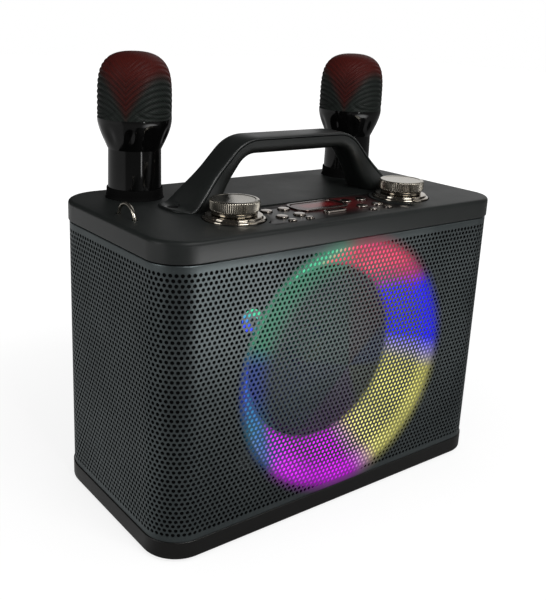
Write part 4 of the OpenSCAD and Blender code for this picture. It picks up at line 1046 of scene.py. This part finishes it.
def stem_finish():
    """Polished black plastic: faint waves and dust specks in the gloss."""
    p = Paint("microphone_gloss")
    wave = p.noise(14, 2, 0.5)
    speck = p.noise(0.8, 2, 0.7).smooth(0.7, 0.78)
    black = tone(5, 5, 5)
    return p.finish(Base_Color=p.mix(speck * 0.5, black, times(black, 3, 0.01)),
                    Roughness=0.06 + wave * 0.05 + speck * 0.3, Normal=p.bump(wave, 0.02, 0.4),
                    Specular_IOR_Level=0.36)


def panel_finish():
    """Glossy panel with red light from the display spilt over the plate round it."""
    p = Paint("panel_gloss")
    wave = p.noise(12, 2, 0.5)
    reach = length((p.axis(0) - 14) / 2.6 ** 0.5, p.axis(1) - DISPLAY_Y)
    shade = p.mix(wave.smooth(0.3, 0.7), tone(13, 12, 12), tone(20, 18, 18))
    light = p.mix((1 - reach.smooth(6, 38)) ** 2.0, BLACK, tone(150, 30, 34))
    return p.finish(Base_Color=shade, Roughness=0.26 + wave * 0.1, Specular_IOR_Level=0.15,
                    Normal=p.bump(wave, 0.02, 0.3), Emission_Color=light, Emission_Strength=0.16)


def display_finish():
    """Dark glass with a red glow under it, brightest in the middle and in thin rows."""
    p = Paint("display_glass")
    x, y = p.axis(0), p.axis(1) - DISPLAY_Y
    inside = (1 - x.math("ABSOLUTE").smooth(8, 20)) * (1 - y.math("ABSOLUTE").smooth(2.5, 8))
    rows = (y * 4.2).math("SINE") * 0.15 + 0.85
    light = p.mix(inside * rows, tone(70, 4, 8), tone(200, 20, 30))
    dust = p.noise(1.1, 2, 0.6)
    return p.finish(Base_Color=p.mix(dust.smooth(0.6, 0.8) * 0.3, tone(30, 6, 6), tone(70, 30, 30)),
                    Roughness=0.18 + dust * 0.08, Specular_IOR_Level=0.2, Emission_Color=light,
                    Emission_Strength=0.14)


def basket_finish(name, centre, facing):
    """Fine steel mesh over the head: painted red light where the lamp inside shines, dark grey at the sides,
    and painted shade in the grooves between the ridges. The mesh is a weave of bumps along height and angle."""
    p = Paint(name)
    x, y = p.axis(0) - centre[0], p.axis(1) - centre[1]
    angle = y.math("ARCTAN2", x)
    h = p.axis(2) - (MIC_NECK_Z + COLLAR_H)
    weave = (angle * 70).math("SINE") * (h * 3.6).math("SINE")
    swing = ((angle - facing) * 1.5).math("SINE").math("ABSOLUTE")
    lobe = (h - swing * 30 + 3).smooth(-1, 13)
    red = (lobe * 0.9 + h.smooth(24, 38) * 0.35).math("MINIMUM", 1.0)
    patch = p.noise(5, 3, 0.6)
    # Painted shade: the grooves between the ridges are darkened, fading out over the dome.
    phase = (h - (swing ** 0.75) * WAVE_H) / RIDGE_PITCH
    groove = (0.5 - (phase * (2 * math.pi)).math("COSINE") * 0.5) * (1 - h.smooth(22, 34))
    shade = p.mix(red, tone(29, 34, 31), tone(64, 14, 9))
    dark = weave.smooth(0.1, 0.6) * 0.4 + patch.smooth(0.5, 0.8) * 0.2 + groove * 0.45
    shade = p.mix(dark.math("MINIMUM", 1.0), shade, tone(7, 7, 7))
    return p.finish(Base_Color=shade, Roughness=0.55 + weave * 0.08,
                    Normal=p.bump(weave, 0.10, 0.6), Specular_IOR_Level=0.12)


stem_paint, panel_paint, display_paint = stem_finish(), panel_finish(), display_finish()


# %% Boards, cone, magnet, battery
def speckled(name, dark, light, size, rough, bump=0.05, metallic=0.0, level=0.4):
    """Two tones over lumps of a given size, for boards, the cone and wrapped cells."""
    p = Paint(name)
    n = p.noise(size, 4, 0.6)
    return p.finish(Base_Color=p.mix(n.smooth(0.35, 0.65), dark, light), Roughness=rough + n * 0.1,
                    Metallic=metallic, Normal=p.bump(n, bump, 0.5), Specular_IOR_Level=level)


board_paint = speckled("circuit_board", tone(12, 60, 34), tone(20, 92, 52), 3.0, 0.35)
ring_board_paint = speckled("lamp_board", tone(190, 190, 186), tone(225, 225, 222), 2.0, 0.4)
frame_paint = speckled("driver_basket_steel", tone(26, 27, 28), tone(40, 41, 43), 8, 0.45, metallic=0.6)
cone_paint = speckled("pressed_cone", tone(24, 25, 28), tone(40, 41, 45), 1.4, 0.6, bump=0.12)
roll_paint = speckled("surround_rubber", tone(15, 15, 16), tone(24, 24, 25), 1.0, 0.65, level=0.3)
cap_paint = speckled("dust_cap", tone(22, 22, 25), tone(36, 36, 40), 1.2, 0.35)
magnet_paint = speckled("magnet_steel", tone(80, 80, 84), tone(120, 120, 124), 6, 0.4, metallic=0.8)
battery_paint = speckled("battery_wrap", tone(24, 62, 120), tone(34, 82, 150), 12, 0.3)
print("materials:", len(bpy.data.materials))

# %% [markdown]
# Last, every piece is dressed and tied to what moves it. The keys, knobs and microphones ride on
# their own bodies; everything else belongs to the speaker.

# %% Dressing
for strip in bands:
    dress(strip, sheet_paint, "speaker", angle=50)
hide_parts("grille")
# Dark strips that stand in for shade behind the punched steel.
for shade_sheet in shade_sheets:
    dress(shade_sheet, inner_paint, "speaker")
for piece, paint, slot, node in (
        (base, base_paint, "base_plastic", "base_tray"), (cover, cover_paint, "cover_plastic", "top_cover"),
        (cabinet, inner_paint, "inner_plastic", "cabinet"), (loop, wire_steel, "loop_steel", "strap_loop"),
        (panel, panel_paint, "panel_gloss", "control_panel"),
        (display_rim, dark_chrome, "chrome_trim", "display_bezel"),
        (display, display_paint, "display_smoke", "display_window")):
    dress(piece, paint, "speaker", [node])
dress(handle_top, handle_paint, "speaker", ["handle_top"], 40)
dress(handle_low, handle_paint, "speaker", ["handle_lower"], 40)
for side, mic in mics.items():
    dress(knobs[side], knob_chrome[side], f"knob_{side}", [f"knob_{side}"])
    dress(flanges[side], chrome, "speaker", [f"knob_bezel_{side}"])
    mesh_paint, body = basket_finish(f"basket_mesh_{side}", mic["at"], mic["facing"]), f"mic_{side}"
    dress(mic["basket"], mesh_paint, body, [f"mic_{side}_basket"], 60)
    dress(mic["collar"], stem_paint, body, [f"mic_{side}_collar"])
    dress(mic["stem"], stem_paint, body, [f"mic_{side}_body", f"mic_{side}_tail"])
    dress(mic["well"], well_paint, "speaker", [f"mic_well_{side}"])
    switch = f"mic_{side}_button"
    dress(eased(switch), stem_paint, switch, [switch])
for name, key in {**keys, "bar": bar}.items():
    dress(key, key_chrome, f"button_{name}", [f"button_{name}"])
for nodes, paint, slot, ease in (
        ("light_funnel", funnel_paint, "funnel_plastic", 0.3),
        ("led_ring_board", ring_board_paint, "circuit_board", 0),
        ("driver_frame", frame_paint, "driver_steel", 0.3),
        ("driver_surround", roll_paint, "surround_rubber", 0),
        ("driver_cone", cone_paint, "cone_plastic", 0), ("dust_cap", cap_paint, "cone_plastic", 0),
        ("driver_magnet", magnet_paint, "magnet_steel", 0.5),
        ("speaker_screws", screw_steel, "screw_steel", 0.1),
        ("rear_panel", base_paint, "base_plastic", 0.4),
        ("rear_panel_screws", screw_steel, "screw_steel", 0.1),
        ("charge_socket usb_port", port_steel, "port_steel", 0.1),
        ("aux_socket mic_jack", port_steel, "port_steel", 0.2),
        ("main_board", board_paint, "circuit_board", 0.1),
        ("battery_pack", battery_paint, "battery_wrap", 0.4),
        ("control_board", board_paint, "circuit_board", 0.1),
        ("handle_screws", black_screw, "screw_steel", 0.15),
        ("rubber_feet", rubber_paint, "foot_rubber", 0.4)):
    for node in nodes.split():
        dress(eased(node, ease), paint, "speaker", [node])
dress(eased("power_rocker", 0.3), base_paint, "power_rocker", ["power_rocker"])
